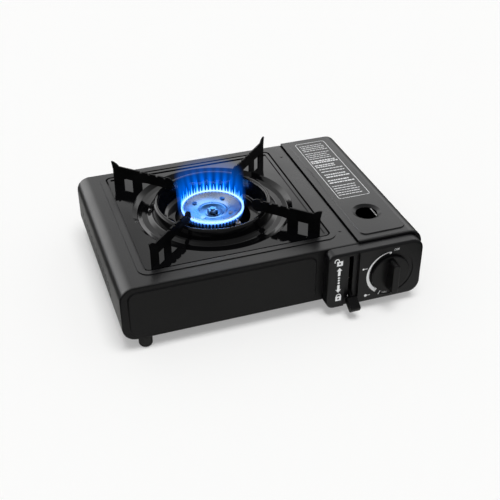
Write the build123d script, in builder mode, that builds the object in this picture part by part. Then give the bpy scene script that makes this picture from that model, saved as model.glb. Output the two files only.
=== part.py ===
from build123d import *
from math import atan2, cos, degrees, hypot, radians, sin, tan
import os

os.makedirs("parts", exist_ok=True)

# A portable gas stove: a pressed steel case with an enamelled drip pan and four
# pan supports on the left, and a cartridge bay under a hinged lid on the right.
# X runs to the right, Y to the back and Z up. All sizes are in millimetres.

# Case
body_height = 67.5
foot_height = 16.0
edge_radius = 16.0
sheet = 0.8
cap_rim = 3.0
cap_round = 1.6
cap_flange = 8.5
lid_to_partition = 18.5
lid_gap = 1.6
lid_rise = 2.5
lid_hem = 5.0
fold = 8.0

# Clearances, and how far a cut runs past the face it opens
slip_gap = 0.3
fit_gap = 0.1
shaft_gap = 0.05
overrun = 5.0

# Drip pan opening, from the case's edges
opening_left_margin = 33.5
opening_front_margin = 25.2
opening_back_margin = 12.6
opening_to_partition = 3.8
opening_extra_width = 4.5
opening_corner = 7.0
well_depth = 3.0
ledge_width = 6.0
border_width = 6.5
border_rise = 0.9

# Drip pan
pan_gap = 2.2
pan_rim_width = 3.6
pan_rim_rise = 0.5
pan_step = 1.2
pan_press_radius = 2.5
bowl_hole_gap = 9.6
bowl_run = 21.1
bowl_depth = 12.0
collar_rise = 11.1
trough_width = 28.5
trough_depth = 5.5
trough_margin = 11.0

# Pan supports
fin_thickness = 1.8
fin_height = 24.0
horn_rise = 5.0
horn_width = 5.0
fin_nose_gap = 6.5
fin_corner_margin = 12.5
fin_bar_height = 14.0
fin_nose_radius = 8.0
leg_inner_width = 13.0
leg_outer_width = 16.0
notch_height = 9.0
tooth_count = 4
tooth_pitch = 11.0
tooth_depth = 1.8
tab_length = 6.0
tab_drop = 2.4

# Burner
burner_radius = 35.4
burner_height = 13.5
burner_seat_height = 4.0
port_count = 56
port_width = 1.4
port_depth = 3.2
dish_depth = 5.0
dish_floor_radius = 18.0
well_radius = 15.5
centre_well_depth = 4.0
boss_ring_radius = 24.5
boss_rise = 3.2
cap_radius = 6.4
cap_height = 5.0
washer_radius = 9.0
cup_wall = 2.2
throat_radius = 11.0
mixer_radius = 9.0
mixer_height = 14.7
bell_radius = 12.0
bell_length = 9.0
shutter_wall = 0.9
shutter_length = 10.0
bridge_height = 33.0
bridge_width = 28.0
bridge_half_span = 44.0
bridge_foot = 13.0
bridge_sheet = 1.2

# Gas line
pipe_radius = 2.4
pipe_wall = 0.7
pipe_height = 6.0
pipe_bend = 9.0
nut_radius = 5.5
nut_length = 7.0

# Ignition
insulator_radius = 3.0
electrode_radius = 0.9
lead_radius = 1.2
lead_bend = 7.0
piezo_radius = 6.0
piezo_length = 27.0

# Control housing, knob and dial
housing_inset = 4.5
housing_drop = 5.0
housing_top_gap = 0.3
housing_depth = 14.0
housing_wall = 2.2
pad_corner = 8.0
panel_corner = 14.0
pad_width = 20.0
recess_width = 17.0
recess_depth = 4.0
slot_width = 5.0
housing_round = 3.0
knob_drop = 1.6
knob_radius = 23.2
knob_disc = 3.6
knob_reach = 16.0
dial_margin = 5.8
dial_recess_depth = 0.8
grip_width = 9.7
grip_length = 41.0
shaft_radius = 3.0

# Lever and latch
lever_thickness = 2.0
lever_width = 6.0
lever_hub_radius = 5.0
lever_swing = 56.0
lever_offset = 5.5
lever_setback = 36.0
lever_pivot_drop = 1.75
lever_reach = 73.0
handle_width = 12.0
handle_height = 9.0
handle_length = 17.5
pivot_radius = 2.0
drive_radius = 1.5
drive_offset = 8.0
latch_sheet = 1.5
latch_setback = 42.0

# Cartridge bay
cartridge_radius = 33.0
cartridge_side_gap = 11.7
lever_space = 19.3
collar_slot_radius = 20.0
cartridge_floor_gap = 0.5
seat_radius = 9.0
seat_length = 6.0
valve_radius = 16.0
valve_setback = 8.0
valve_length = 18.0
cover_radius = 19.0
cover_depth = 9.0
ear_reach = 24.0
ear_width = 12.0
ear_sheet = 3.0
guide_radius = 2.0

# Lid hinge
hinge_height = 21.0
knuckle_radius = 2.0
knuckle_length = 9.0
hinge_pin_radius = 1.0
hinge_clear = 2.8
hinge_margin = 34.0

# Feet and fasteners
foot_radius = 7.7
foot_round = 4.5
foot_flange = 2.6
foot_flange_reach = 17.0
foot_margin = 25.5
foot_setback = 9.0
foot_to_partition = 5.4
foot_screw_reach = 11.5
screw_radius = 1.6
screw_head_radius = 2.9
screw_head = 1.6

# Vents in the left and rear walls
vent_count = 12
vent_pitch = 13.8
vent_length = 20.0
vent_width = 3.0
vent_slant = 30.0
vent_shift = 8.0
vent_drop = 7.0
rear_vent_count = 8
rear_vent_pitch = 17.0
rear_vent_margin = 8.75

# Places worked out from the sizes above
knob_inset = cartridge_radius + cartridge_side_gap
bay_width = knob_inset + cartridge_radius + lever_space
lid_width = bay_width - lid_to_partition
bowl_hole_radius = burner_radius + bowl_hole_gap
collar_radius = bowl_hole_radius + bowl_run
trough_radius = collar_radius + trough_width
opening_length = 2 * (trough_radius + trough_margin)
opening_width = opening_length + opening_extra_width
body_width = opening_left_margin + opening_width + opening_to_partition + bay_width
body_depth = opening_front_margin + opening_length + opening_back_margin
front_overhang = housing_depth + knob_reach
mid_y = front_overhang / 2
front_y = mid_y - body_depth / 2
back_y = mid_y + body_depth / 2
left_x = -body_width / 2
right_x = body_width / 2
base_z = foot_height
floor_z = base_z + sheet
top_z = base_z + body_height
lid_top_z = top_z + lid_rise
shell_front_y = front_y + cap_rim
shell_back_y = back_y - cap_rim
shell_length = shell_back_y - shell_front_y
lid_left_x = right_x - lid_width
shell_right_x = lid_left_x - lid_gap
partition_x = right_x - bay_width

opening_left = left_x + opening_left_margin
opening_right = partition_x - opening_to_partition
opening_front = front_y + opening_front_margin
opening_back = back_y - opening_back_margin
burner_x = (opening_left + opening_right) / 2
burner_y = (opening_front + opening_back) / 2
ledge_z = top_z - well_depth

pan_width = opening_width - 2 * pan_gap
pan_length = opening_length - 2 * pan_gap
pan_rim_z = top_z + pan_rim_rise
plate_z = pan_rim_z - pan_step

lever_x = partition_x + lever_offset
recess_left = lever_x - recess_width / 2
recess_right = lever_x + recess_width / 2
housing_left = recess_left - pad_width
housing_right = right_x - housing_inset
housing_low = base_z - housing_drop
housing_high = top_z - housing_top_gap
housing_face_y = front_y - housing_depth
knob_x = right_x - knob_inset
knob_z = (housing_low + housing_high) / 2 - knob_drop
dial_radius = knob_radius + dial_margin

hinge_x = right_x - knuckle_radius
hinge_z = base_z + hinge_height
sill_z = hinge_z + hinge_clear - lid_gap
sill_notch_z = hinge_z - hinge_clear - slip_gap - fit_gap

cartridge_x = knob_x
cartridge_z = floor_z + cartridge_floor_gap + cartridge_radius
pivot_y = front_y + lever_setback
pivot_z = base_z + body_height / 2 - lever_pivot_drop
latch_y = front_y + latch_setback

partition_front = shell_front_y + cap_flange + slip_gap
partition_back = shell_back_y - cap_flange - slip_gap
gas_y = front_y + valve_setback + valve_length / 2
gas_z = floor_z + pipe_height
lead_y = pivot_y + fit_gap
lead_z = gas_z + 2 * pipe_radius + lead_radius + slip_gap
mixer_z = floor_z + mixer_height
bridge_z = floor_z + bridge_height
pipe_turn_x = partition_x - pipe_bend - slip_gap
pipe_end_x = pipe_turn_x - pipe_bend - nut_length - slip_gap
holder_x = pipe_end_x - bridge_sheet - sheet
mixer_end_x = holder_x - bell_radius / 2
holder_foot = 12.0
cover_y = front_y + cover_radius + 3 * sheet

foot_places = [
    (x, y)
    for x in (left_x + foot_margin, partition_x - foot_to_partition)
    for y in (front_y + foot_setback, back_y - foot_setback)
]
foot_screws_at = [(x + foot_screw_reach, y) for x, y in foot_places]
bridge_screws_at = [
    (burner_x, burner_y + side * (bridge_half_span + bridge_foot / 2)) for side in (-1, 1)
]
burner_screws_at = [
    (burner_x, burner_y + side * (throat_radius + 3 * screw_head_radius)) for side in (-1, 1)
]
holder_screw_at = (holder_x + holder_foot / 2, burner_y - bell_radius)
plate_screw_height = 32.0
plate_screw_setback = 8.5
plate_screws_at = [front_y + plate_screw_setback, back_y - plate_screw_setback]
housing_boss_radius = 3.4
housing_screws_at = [
    (housing_left + pad_width / 2, base_z + 2 * screw_head_radius),
    (housing_left + pad_width / 2, housing_high - 2 * housing_boss_radius - housing_wall),
    (housing_right - pad_corner - screw_radius, housing_low + pad_corner + 2 * screw_radius),
    (housing_right - pad_corner - screw_radius, housing_high - pad_corner - 2 * screw_radius),
]
regulator_screws_at = [
    (knob_x, knob_z + side * (ear_reach - screw_head_radius - sheet)) for side in (-1, 1)
]


def across(y):
    # A sketch plane across the case at depth y, seen from the front
    return Plane.XZ.offset(-y)


def end_view(inset, mode=Mode.ADD):
    # The case's outline from the front, with the lid's side standing higher
    r = edge_radius - inset
    left, right, low = left_x + inset, right_x - inset, base_z + inset
    main_high, lid_high, step = top_z - inset, lid_top_z - inset, lid_left_x + inset
    with BuildLine() as edge:
        Line((left + r, low), (right - r, low))
        CenterArc((right - r, low + r), r, 270, 90)
        Line((right, low + r), (right, lid_high - r))
        CenterArc((right - r, lid_high - r), r, 0, 90)
        Line((right - r, lid_high), (step, lid_high))
        Line((step, lid_high), (step, main_high))
        Line((step, main_high), (left + r, main_high))
        CenterArc((left + r, main_high - r), r, 90, 90)
        Line((left, main_high - r), (left, low + r))
        CenterArc((left + r, low + r), r, 180, 90)
    make_face(edge.edges(), mode=mode)


def region(x_low, x_high, z_low, z_high, mode=Mode.ADD):
    # A plain rectangle in the open sketch, given by its sides
    with Locations(((x_low + x_high) / 2, (z_low + z_high) / 2)):
        Rectangle(x_high - x_low, z_high - z_low, mode=mode)


def block(x_low, x_high, y_low, y_high, z_low, z_high, mode=Mode.ADD):
    # A plain block in the open part, given by its sides
    with Locations(((x_low + x_high) / 2, (y_low + y_high) / 2, (z_low + z_high) / 2)):
        Box(x_high - x_low, y_high - y_low, z_high - z_low, mode=mode)


def bar_x(y, z, radius, x_low, x_high, mode=Mode.ADD):
    with BuildSketch(Plane.YZ.offset(x_low)) as disc:
        with Locations((y, z)):
            Circle(radius)
    extrude(disc.sketch, amount=x_high - x_low, mode=mode)


def bar_y(x, z, radius, y_low, y_high, mode=Mode.ADD):
    with BuildSketch(across(y_low)) as disc:
        with Locations((x, z)):
            Circle(radius)
    extrude(disc.sketch, amount=y_low - y_high, mode=mode)


def bar_z(x, y, radius, z_low, z_high, mode=Mode.ADD):
    with BuildSketch(Plane.XY.offset(z_low)) as disc:
        with Locations((x, y)):
            Circle(radius)
    extrude(disc.sketch, amount=z_high - z_low, mode=mode)


def screw_down(x, y, head_z, length):
    # A pan head screw that points down, with its head seated at head_z
    bar_z(x, y, screw_radius, head_z - length, head_z)
    bar_z(x, y, screw_head_radius, head_z, head_z + screw_head)


def rounded_frame(width, length, corner, band, z_low, z_high, mode=Mode.ADD):
    # An upright band that follows the drip pan's rounded outline, drawn inwards
    with BuildSketch(Plane.XY.offset(z_low)) as frame:
        with Locations((burner_x, burner_y)):
            RectangleRounded(width, length, corner)
            RectangleRounded(width - 2 * band, length - 2 * band, corner - band, mode=Mode.SUBTRACT)
    extrude(frame.sketch, amount=z_high - z_low, mode=mode)


def tube_along(route, bend, radius, bore=0):
    # A round tube along straight runs joined by arcs
    with BuildLine() as path:
        FilletPolyline(*route, radius=bend)
    start = Plane(origin=path.line @ 0, z_dir=path.line % 0)
    with BuildSketch(start) as ring:
        Circle(radius)
        if bore:
            Circle(bore, mode=Mode.SUBTRACT)
    sweep(ring.sketch, path=path.line)


def countersink(y, gap, mode=Mode.ADD):
    # A flush screw through the left wall: a cone as deep as the sheet, and a shank
    at = Plane(
        origin=(left_x, y, base_z + plate_screw_height), x_dir=(0, 1, 0), z_dir=(1, 0, 0),
    )
    with BuildSketch(at) as wide:
        Circle(screw_head_radius + gap)
    with BuildSketch(at.offset(sheet)) as narrow:
        Circle(screw_radius + gap)
    loft([wide.sketch.face(), narrow.sketch.face()], mode=mode)
    bar_x(y, base_z + plate_screw_height, screw_radius + gap, left_x + sheet, left_x + 4 * sheet, mode)


# Base shell: floor, left wall and top folded from one sheet, with a well for the
# drip pan, slanted vents and the fixed halves of the lid's hinge
well_outline = (opening_width, opening_length, opening_corner)
hinge_stations = (shell_front_y + hinge_margin, shell_back_y - hinge_margin)

with BuildPart() as base_shell:
    with BuildSketch(across(shell_front_y)):
        end_view(0)
        end_view(sheet, mode=Mode.SUBTRACT)
        region(shell_right_x, right_x + overrun, sill_z, lid_top_z + overrun, mode=Mode.SUBTRACT)
    extrude(amount=-shell_length)
    block(
        shell_right_x - sheet, shell_right_x, partition_front, partition_back, top_z - fold, top_z,
    )
    # The opening, its stepped well and the pressed border round it
    with BuildSketch(Plane.XY.offset(top_z - overrun)):
        with Locations((burner_x, burner_y)):
            RectangleRounded(opening_width, opening_length, opening_corner)
    extrude(amount=2 * overrun, mode=Mode.SUBTRACT)
    rounded_frame(
        opening_width + 2 * sheet, opening_length + 2 * sheet, opening_corner + sheet,
        sheet, ledge_z - sheet, top_z,
    )
    rounded_frame(*well_outline, ledge_width, ledge_z - sheet, ledge_z)
    rounded_frame(
        opening_width + 2 * border_width, opening_length + 2 * border_width,
        opening_corner + border_width, border_width, top_z, top_z + border_rise,
    )
    # Slanted vents along the left wall
    with BuildSketch(Plane.YZ.offset(left_x - overrun)):
        with Locations((burner_y + vent_shift, base_z + body_height / 2 - vent_drop)):
            with GridLocations(vent_pitch, sheet, vent_count, 1):
                SlotOverall(vent_length, vent_width, rotation=90 - vent_slant)
    extrude(amount=2 * overrun, mode=Mode.SUBTRACT)
    # Two outer knuckles at each hinge, and a notch in the sill for the lid's own
    for station in hinge_stations:
        for side in (-1, 1):
            y_low = station + side * (knuckle_length + slip_gap) - knuckle_length / 2
            bar_y(hinge_x, hinge_z, knuckle_radius, y_low, y_low + knuckle_length)
        notch = knuckle_length / 2 + slip_gap
        block(
            right_x - 2 * sheet, right_x + sheet, station - notch, station + notch, sill_notch_z,
            sill_z + sheet, Mode.SUBTRACT,
        )
        half = 2 * knuckle_length
        bar_y(hinge_x, hinge_z, hinge_pin_radius + shaft_gap, station - half, station + half, Mode.SUBTRACT)
    # Screw holes in the floor and countersunk ones in the left wall
    for x, y in foot_screws_at + bridge_screws_at + [holder_screw_at]:
        bar_z(x, y, screw_radius + fit_gap, base_z - overrun, floor_z + sheet, Mode.SUBTRACT)
    for y in plate_screws_at:
        countersink(y, fit_gap, Mode.SUBTRACT)
base_shell.part.label = "base_shell"
export_step(base_shell.part, "parts/base_shell.step")


def pressed_cap(face_y, inward):
    # An end plate with a rounded rim and a flange that plugs into the shell
    with BuildSketch(across(face_y)) as face:
        end_view(0)
    extrude(face.sketch, amount=-inward * cap_rim)
    rim = faces().filter_by(Axis.Y).sort_by(Axis.Y)[0 if inward > 0 else -1]
    fillet(rim.outer_wire().edges(), cap_round)
    with BuildSketch(across(face_y + inward * sheet)) as pocket:
        end_view(sheet)
    extrude(pocket.sketch, amount=-inward * cap_rim, mode=Mode.SUBTRACT)
    with BuildSketch(across(face_y + inward * sheet)) as flange:
        end_view(sheet + fit_gap)
        end_view(2 * sheet + fit_gap, mode=Mode.SUBTRACT)
    extrude(flange.sketch, amount=-inward * (cap_rim + cap_flange - sheet))
    # The flange steps in under the lid, so that the lid closes over it freely
    with BuildSketch(across(face_y + inward * cap_rim)) as step:
        end_view(0)
        end_view(sheet + slip_gap + fit_gap, mode=Mode.SUBTRACT)
        region(left_x, shell_right_x, base_z, lid_top_z, mode=Mode.SUBTRACT)
        region(shell_right_x, right_x, base_z, sill_z, mode=Mode.SUBTRACT)
        region(shell_right_x, lid_left_x + 2 * sheet, lid_top_z - lid_hem - slip_gap, lid_top_z)
    extrude(step.sketch, amount=-inward * (cap_flange + overrun), mode=Mode.SUBTRACT)
    # Holes for the feet's screws and for the flush screws of the left wall
    for x, y in foot_screws_at:
        bar_z(x, y, screw_radius + fit_gap, base_z, floor_z + 2 * sheet, Mode.SUBTRACT)
    plug_y = face_y + inward * plate_screw_setback
    plug_z = base_z + plate_screw_height
    bar_x(plug_y, plug_z, screw_radius + fit_gap, left_x + sheet, left_x + overrun, Mode.SUBTRACT)


# Front plate, with one large raised panel and a window for the controls
panel_margin = 8.0
panel_drop = 5.0
panel_rise = 1.5
panel_radius = 10.0
panel_taper = 40.0
panel_right = housing_left - panel_margin - sheet
window_margin = 1.5

with BuildPart() as front_plate:
    pressed_cap(front_y, 1)
    with BuildSketch(across(front_y)):
        with Locations(((left_x + panel_margin + panel_right) / 2, base_z + body_height / 2)):
            RectangleRounded(
                panel_right - left_x - panel_margin, body_height - 2 * panel_drop, panel_radius,
            )
    extrude(amount=panel_rise, taper=panel_taper)
    with BuildSketch(across(front_y + sheet)):
        with Locations(((left_x + panel_margin + panel_right) / 2, base_z + body_height / 2)):
            RectangleRounded(
                panel_right - left_x - panel_margin - 2 * sheet,
                body_height - 2 * panel_drop - 2 * sheet, panel_radius - sheet,
            )
    extrude(amount=panel_rise, taper=panel_taper, mode=Mode.SUBTRACT)
    # A window for the lever, and a clear hole for the knob's shaft
    with BuildSketch(across(front_y - overrun)):
        region(
            recess_left + window_margin, recess_right - window_margin,
            base_z + edge_radius / 4, top_z - edge_radius / 4,
        )
        with Locations((knob_x, knob_z)):
            Circle(shaft_radius + 2 * fit_gap + slip_gap)
        with Locations(*housing_screws_at, *regulator_screws_at):
            Circle(screw_radius + fit_gap)
    extrude(amount=-2 * overrun, mode=Mode.SUBTRACT)
front_plate.part.label = "front_plate"
export_step(front_plate.part, "parts/front_plate.step")

# Rear plate, with two rows of air slots behind the burner
rear_vent_length = body_height / 2 - rear_vent_margin - vent_width

with BuildPart() as rear_plate:
    pressed_cap(back_y, -1)
    with BuildSketch(across(back_y + overrun)):
        with Locations((burner_x, base_z + body_height / 2)):
            with GridLocations(rear_vent_pitch, rear_vent_length + 2 * vent_width, rear_vent_count, 2):
                SlotOverall(rear_vent_length, vent_width, rotation=90)
    extrude(amount=2 * overrun, mode=Mode.SUBTRACT)
rear_plate.part.label = "rear_plate"
export_step(rear_plate.part, "parts/rear_plate.step")

# Partition between the burner and the cartridge, folded at its foot and its head
partition_flange = shell_right_x - sheet - partition_x

with BuildPart() as partition_wall:
    with BuildSketch(across(partition_front)):
        region(partition_x, partition_x + sheet, floor_z, top_z - sheet)
        region(partition_x, partition_x + fold, floor_z, floor_z + sheet)
        region(partition_x, partition_x + partition_flange, top_z - 2 * sheet, top_z - sheet)
    extrude(amount=partition_front - partition_back)
    # Holes for the gas pipe, the ignition lead and the lever's pin
    for y, z, radius in (
        (gas_y, gas_z, pipe_radius + slip_gap),
        (lead_y, lead_z, lead_radius + slip_gap),
        (pivot_y, pivot_z, pivot_radius + shaft_gap),
    ):
        bar_x(y, z, radius, partition_x - overrun, partition_x + overrun, Mode.SUBTRACT)
partition_wall.part.label = "partition_wall"
export_step(partition_wall.part, "parts/partition_wall.step")

# Rivets that hold the partition's head to the shell's top
rivet_radius = 1.7
rivet_rise = 0.5
rivet_x = (partition_x + shell_right_x) / 2
rivet_margin = 28.0

with BuildPart() as top_rivets:
    for y in (shell_front_y + rivet_margin, shell_back_y - rivet_margin):
        bar_z(rivet_x, y, rivet_radius, top_z, top_z + rivet_rise)
top_rivets.part.label = "top_rivets"
export_step(top_rivets.part, "parts/top_rivets.step")

# Drip pan: a flat plate in a stepped rim, pressed round the burner into a trough,
# a raised collar and a bowl with a hole that the burner stands in
trough_step_share = 0.193
bowl_crest_share = 0.13
bowl_slope_share = 0.39
bowl_foot_share = 0.57
shoulder_share = 0.8
trough_step = trough_width * trough_step_share
pan_profile = (
    (trough_radius, 0),
    (trough_radius - trough_step, -trough_depth * shoulder_share),
    (trough_radius - 2 * trough_step, -trough_depth),
    (collar_radius + 2 * trough_step, -trough_depth),
    (collar_radius + trough_step, -trough_depth / 2),
    (collar_radius + trough_step / 2, collar_rise * shoulder_share),
    (collar_radius, collar_rise),
    (collar_radius - bowl_run * bowl_crest_share, collar_rise * shoulder_share),
    (collar_radius - bowl_run * bowl_slope_share, -bowl_depth * shoulder_share),
    (collar_radius - bowl_run * bowl_foot_share, -bowl_depth),
    (bowl_hole_radius, -bowl_depth),
)
fin_reach = hypot(opening_width / 2, opening_length / 2) - fin_corner_margin
fin_angle = degrees(atan2(opening_length, opening_width))
leg_inner_start = trough_radius + slip_gap + 2 * sheet
leg_outer_end = fin_reach - slip_gap
leg_outer_start = leg_outer_end - leg_outer_width
fin_sides = {
    "front_left": 180 + fin_angle,
    "front_right": -fin_angle,
    "back_left": 180 - fin_angle,
    "back_right": fin_angle,
}
fin_base_z = plate_z


def fin_plane(angle):
    # A plane through the burner's axis: local x runs out along the fin, y is up
    out = (cos(radians(angle)), sin(radians(angle)), 0)
    side = (out[1], -out[0], 0)
    return Plane(origin=(burner_x, burner_y, fin_base_z), x_dir=out, z_dir=side)


def tab_centres():
    inner = leg_inner_start + leg_inner_width / 2
    outer = leg_outer_start + leg_outer_width / 2
    return inner, outer


with BuildPart() as drip_pan:
    rounded_frame(pan_width, pan_length, opening_corner - pan_gap, sheet, ledge_z, pan_rim_z)
    rounded_frame(
        pan_width, pan_length, opening_corner - pan_gap, pan_rim_width, pan_rim_z - sheet, pan_rim_z,
    )
    rounded_frame(
        pan_width - 2 * pan_rim_width + 2 * sheet, pan_length - 2 * pan_rim_width + 2 * sheet,
        opening_corner - pan_gap - pan_rim_width + sheet, sheet, plate_z - sheet, pan_rim_z,
    )
    with BuildSketch(Plane.XY.offset(plate_z - sheet)):
        with Locations((burner_x, burner_y)):
            RectangleRounded(
                pan_width - 2 * pan_rim_width, pan_length - 2 * pan_rim_width,
                opening_corner - pan_gap - pan_rim_width,
            )
            Circle(trough_radius, mode=Mode.SUBTRACT)
    extrude(amount=sheet)
    with BuildSketch(Plane(origin=(burner_x, burner_y, plate_z), x_dir=(1, 0, 0), z_dir=(0, -1, 0))):
        with BuildLine():
            FilletPolyline(*pan_profile, radius=pan_press_radius)
            offset(amount=sheet, side=Side.LEFT)
        make_face()
    revolve(axis=Axis((burner_x, burner_y, 0), (0, 0, 1)))
    # Slots that take the pan supports' tabs
    for angle in fin_sides.values():
        with BuildSketch(Plane.XY.offset(plate_z - overrun)):
            with Locations(Location((burner_x, burner_y, 0), (0, 0, angle))):
                for s in tab_centres():
                    with Locations((s, 0)):
                        Rectangle(tab_length + 2 * fit_gap, fin_thickness + 2 * fit_gap)
        extrude(amount=2 * overrun, mode=Mode.SUBTRACT)
drip_pan.part.label = "drip_pan"
export_step(drip_pan.part, "parts/drip_pan.step")

# Four pan supports: steel fins on two legs, toothed along the top, with a horn at
# the outer end and a rounded nose that reaches in over the collar
nose = fin_bar_height / 2
fin_inner_radius = bowl_hole_radius + fin_nose_gap
for place, angle in fin_sides.items():
    with BuildPart() as fin:
        with BuildSketch(fin_plane(angle)):
            with BuildLine():
                Polyline(
                    (fin_inner_radius + nose, fin_height),
                    (leg_outer_end - horn_width - horn_rise, fin_height),
                )
                RadiusArc(
                    (leg_outer_end - horn_width - horn_rise, fin_height),
                    (leg_outer_end - fin_thickness, fin_height + horn_rise),
                    3 * horn_rise,
                )
                Polyline(
                    (leg_outer_end - fin_thickness, fin_height + horn_rise),
                    (leg_outer_end, fin_height + horn_rise),
                    (leg_outer_end - fin_thickness, fin_height - horn_rise),
                    (leg_outer_end - fin_thickness, 0),
                    (leg_outer_start, 0),
                    (leg_outer_start, notch_height),
                    (leg_inner_start + leg_inner_width, notch_height),
                    (leg_inner_start + leg_inner_width, 0),
                    (leg_inner_start, 0),
                    (leg_inner_start, notch_height),
                    (leg_inner_start - fin_bar_height / 2, fin_height - fin_bar_height),
                    (fin_inner_radius + nose, fin_height - fin_bar_height),
                )
                RadiusArc(
                    (fin_inner_radius + nose, fin_height - fin_bar_height),
                    (fin_inner_radius + nose, fin_height),
                    nose,
                )
            make_face()
            with Locations((fin_inner_radius + fin_nose_radius, fin_height - nose)):
                Circle(fin_nose_radius)
            # Shallow teeth that keep a pot from sliding
            for k in range(tooth_count):
                with Locations((fin_inner_radius + nose + (k + 0.5) * tooth_pitch, fin_height)):
                    Rectangle(2 * tooth_depth, 2 * tooth_depth, mode=Mode.SUBTRACT)
            for s in tab_centres():
                with Locations((s, -tab_drop / 2)):
                    Rectangle(tab_length, tab_drop)
        extrude(amount=fin_thickness / 2, both=True)
    fin.part.label = "pan_support_" + place
    export_step(fin.part, "parts/pan_support_" + place + ".step")

# Burner head: a ported aluminium ring with a dished top and a well at its centre
head_top_z = plate_z + sheet / 2
head_low_z = head_top_z - burner_height
dish_z = head_top_z - dish_depth
centre_well_z = dish_z - centre_well_depth
crest_width = 3.0
axis_of_burner = Axis((burner_x, burner_y, 0), (0, 0, 1))
burner_section = Plane(origin=(burner_x, burner_y, 0), x_dir=(1, 0, 0), z_dir=(0, -1, 0))

with BuildPart() as burner_head:
    with BuildSketch(burner_section):
        with BuildLine():
            Polyline(
                (screw_radius + fit_gap, centre_well_z - cup_wall),
                (well_radius + cup_wall, centre_well_z - cup_wall),
                (well_radius + cup_wall, dish_z - cup_wall),
                (burner_radius - 2 * crest_width, dish_z - cup_wall),
                (burner_radius - 2 * crest_width, head_low_z + cup_wall),
                (burner_radius - crest_width, head_low_z),
                (burner_radius - sheet, head_low_z),
                (burner_radius, head_low_z + crest_width),
                (burner_radius, head_top_z - sheet),
                (burner_radius - sheet, head_top_z),
                (burner_radius - crest_width, head_top_z),
                (dish_floor_radius, dish_z),
                (well_radius + sheet, dish_z),
                (well_radius, dish_z - sheet),
                (well_radius, centre_well_z),
                (screw_radius + fit_gap, centre_well_z),
                close=True,
            )
        make_face()
    revolve(axis=axis_of_burner)
    with BuildSketch(Plane.XY.offset(head_low_z + crest_width)):
        with Locations((burner_x, burner_y)):
            with PolarLocations(burner_radius, port_count):
                Rectangle(2 * crest_width, port_width)
    extrude(amount=port_depth, mode=Mode.SUBTRACT)
    # Cast bosses in the dish
    with BuildSketch(Plane.XY.offset(dish_z)):
        with Locations((burner_x, burner_y)):
            with PolarLocations(boss_ring_radius, 4, start_angle=45):
                Circle(crest_width)
    extrude(amount=boss_rise)
burner_head.part.label = "burner_head"
export_step(burner_head.part, "parts/burner_head.step")

# Burner cap: a lobed crown on a washer, which a screw pulls down in the head's well
lobe_count = 6
lobe_cut_share = 0.25

with BuildPart() as burner_cap:
    bar_z(burner_x, burner_y, washer_radius, centre_well_z, centre_well_z + sheet)
    with BuildSketch(Plane.XY.offset(centre_well_z + sheet)):
        with Locations((burner_x, burner_y)):
            Circle(cap_radius)
            with PolarLocations(cap_radius, lobe_count):
                Circle(cap_radius * lobe_cut_share, mode=Mode.SUBTRACT)
    extrude(amount=cap_height - sheet)
    chamfer(faces().sort_by(Axis.Z)[-1].outer_wire().edges(), sheet / 2)
    bar_z(burner_x, burner_y, screw_radius + fit_gap, centre_well_z, head_top_z, Mode.SUBTRACT)
burner_cap.part.label = "burner_cap"
export_step(burner_cap.part, "parts/burner_cap.step")

# Burner body: a cast cup on a throat, and a mixing tube that runs to the right
seat_radius_of_head = burner_radius - crest_width / 2

with BuildPart() as burner_body:
    with BuildSketch(burner_section):
        with BuildLine():
            Polyline(
                (0, mixer_z),
                (throat_radius, mixer_z),
                (throat_radius, bridge_z + bridge_sheet),
                (throat_radius + cup_wall, bridge_z + bridge_sheet),
                (seat_radius_of_head, head_low_z - cup_wall),
                (seat_radius_of_head, head_low_z),
                (0, head_low_z),
                close=True,
            )
        make_face()
    revolve(axis=axis_of_burner)
    bar_x(burner_y, mixer_z, mixer_radius, burner_x, mixer_end_x)
    bar_x(burner_y, mixer_z, bell_radius, mixer_end_x - bell_length, mixer_end_x)
    with Locations((burner_x, burner_y, mixer_z)):
        Sphere(throat_radius)
    # The gas way: the bore of the tube, the throat and the open cup
    with BuildSketch(burner_section):
        with BuildLine():
            Polyline(
                (0, mixer_z),
                (throat_radius - cup_wall, mixer_z),
                (throat_radius - cup_wall, bridge_z + bridge_sheet),
                (seat_radius_of_head - 2 * cup_wall, head_low_z - cup_wall),
                (seat_radius_of_head - 2 * cup_wall, head_low_z),
                (0, head_low_z),
                close=True,
            )
        make_face()
    revolve(axis=axis_of_burner, mode=Mode.SUBTRACT)
    bar_x(
        burner_y, mixer_z, mixer_radius - cup_wall, burner_x, mixer_end_x + overrun, Mode.SUBTRACT,
    )
    # A centre post inside the cup takes the cap's screw
    bar_z(burner_x, burner_y, 2 * screw_radius, head_low_z - cup_wall, centre_well_z - cup_wall)
    block(
        burner_x - seat_radius_of_head + cup_wall, burner_x + seat_radius_of_head - cup_wall,
        burner_y - screw_radius, burner_y + screw_radius, head_low_z - 2 * cup_wall, head_low_z - cup_wall,
    )
    bar_z(burner_x, burner_y, screw_radius, head_low_z - overrun, head_top_z, Mode.SUBTRACT)
    # Lugs that screw down to the bridge
    lug_low, lug_high = bridge_z + bridge_sheet, bridge_z + bridge_sheet + cup_wall
    for x, y in burner_screws_at:
        bar_z(x, y, 2 * screw_head_radius, lug_low, lug_high)
        inner = burner_y + (throat_radius if y > burner_y else -throat_radius)
        block(
            x - screw_head_radius, x + screw_head_radius, min(inner, y), max(inner, y), lug_low, lug_high,
        )
        bar_z(x, y, screw_radius + fit_gap, lug_low - sheet, lug_high + sheet, Mode.SUBTRACT)
        bar_z(x, y, screw_head_radius + fit_gap, lug_high, lug_high + 2 * screw_head, Mode.SUBTRACT)
burner_body.part.label = "burner_body"
export_step(burner_body.part, "parts/burner_body.step")

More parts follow.
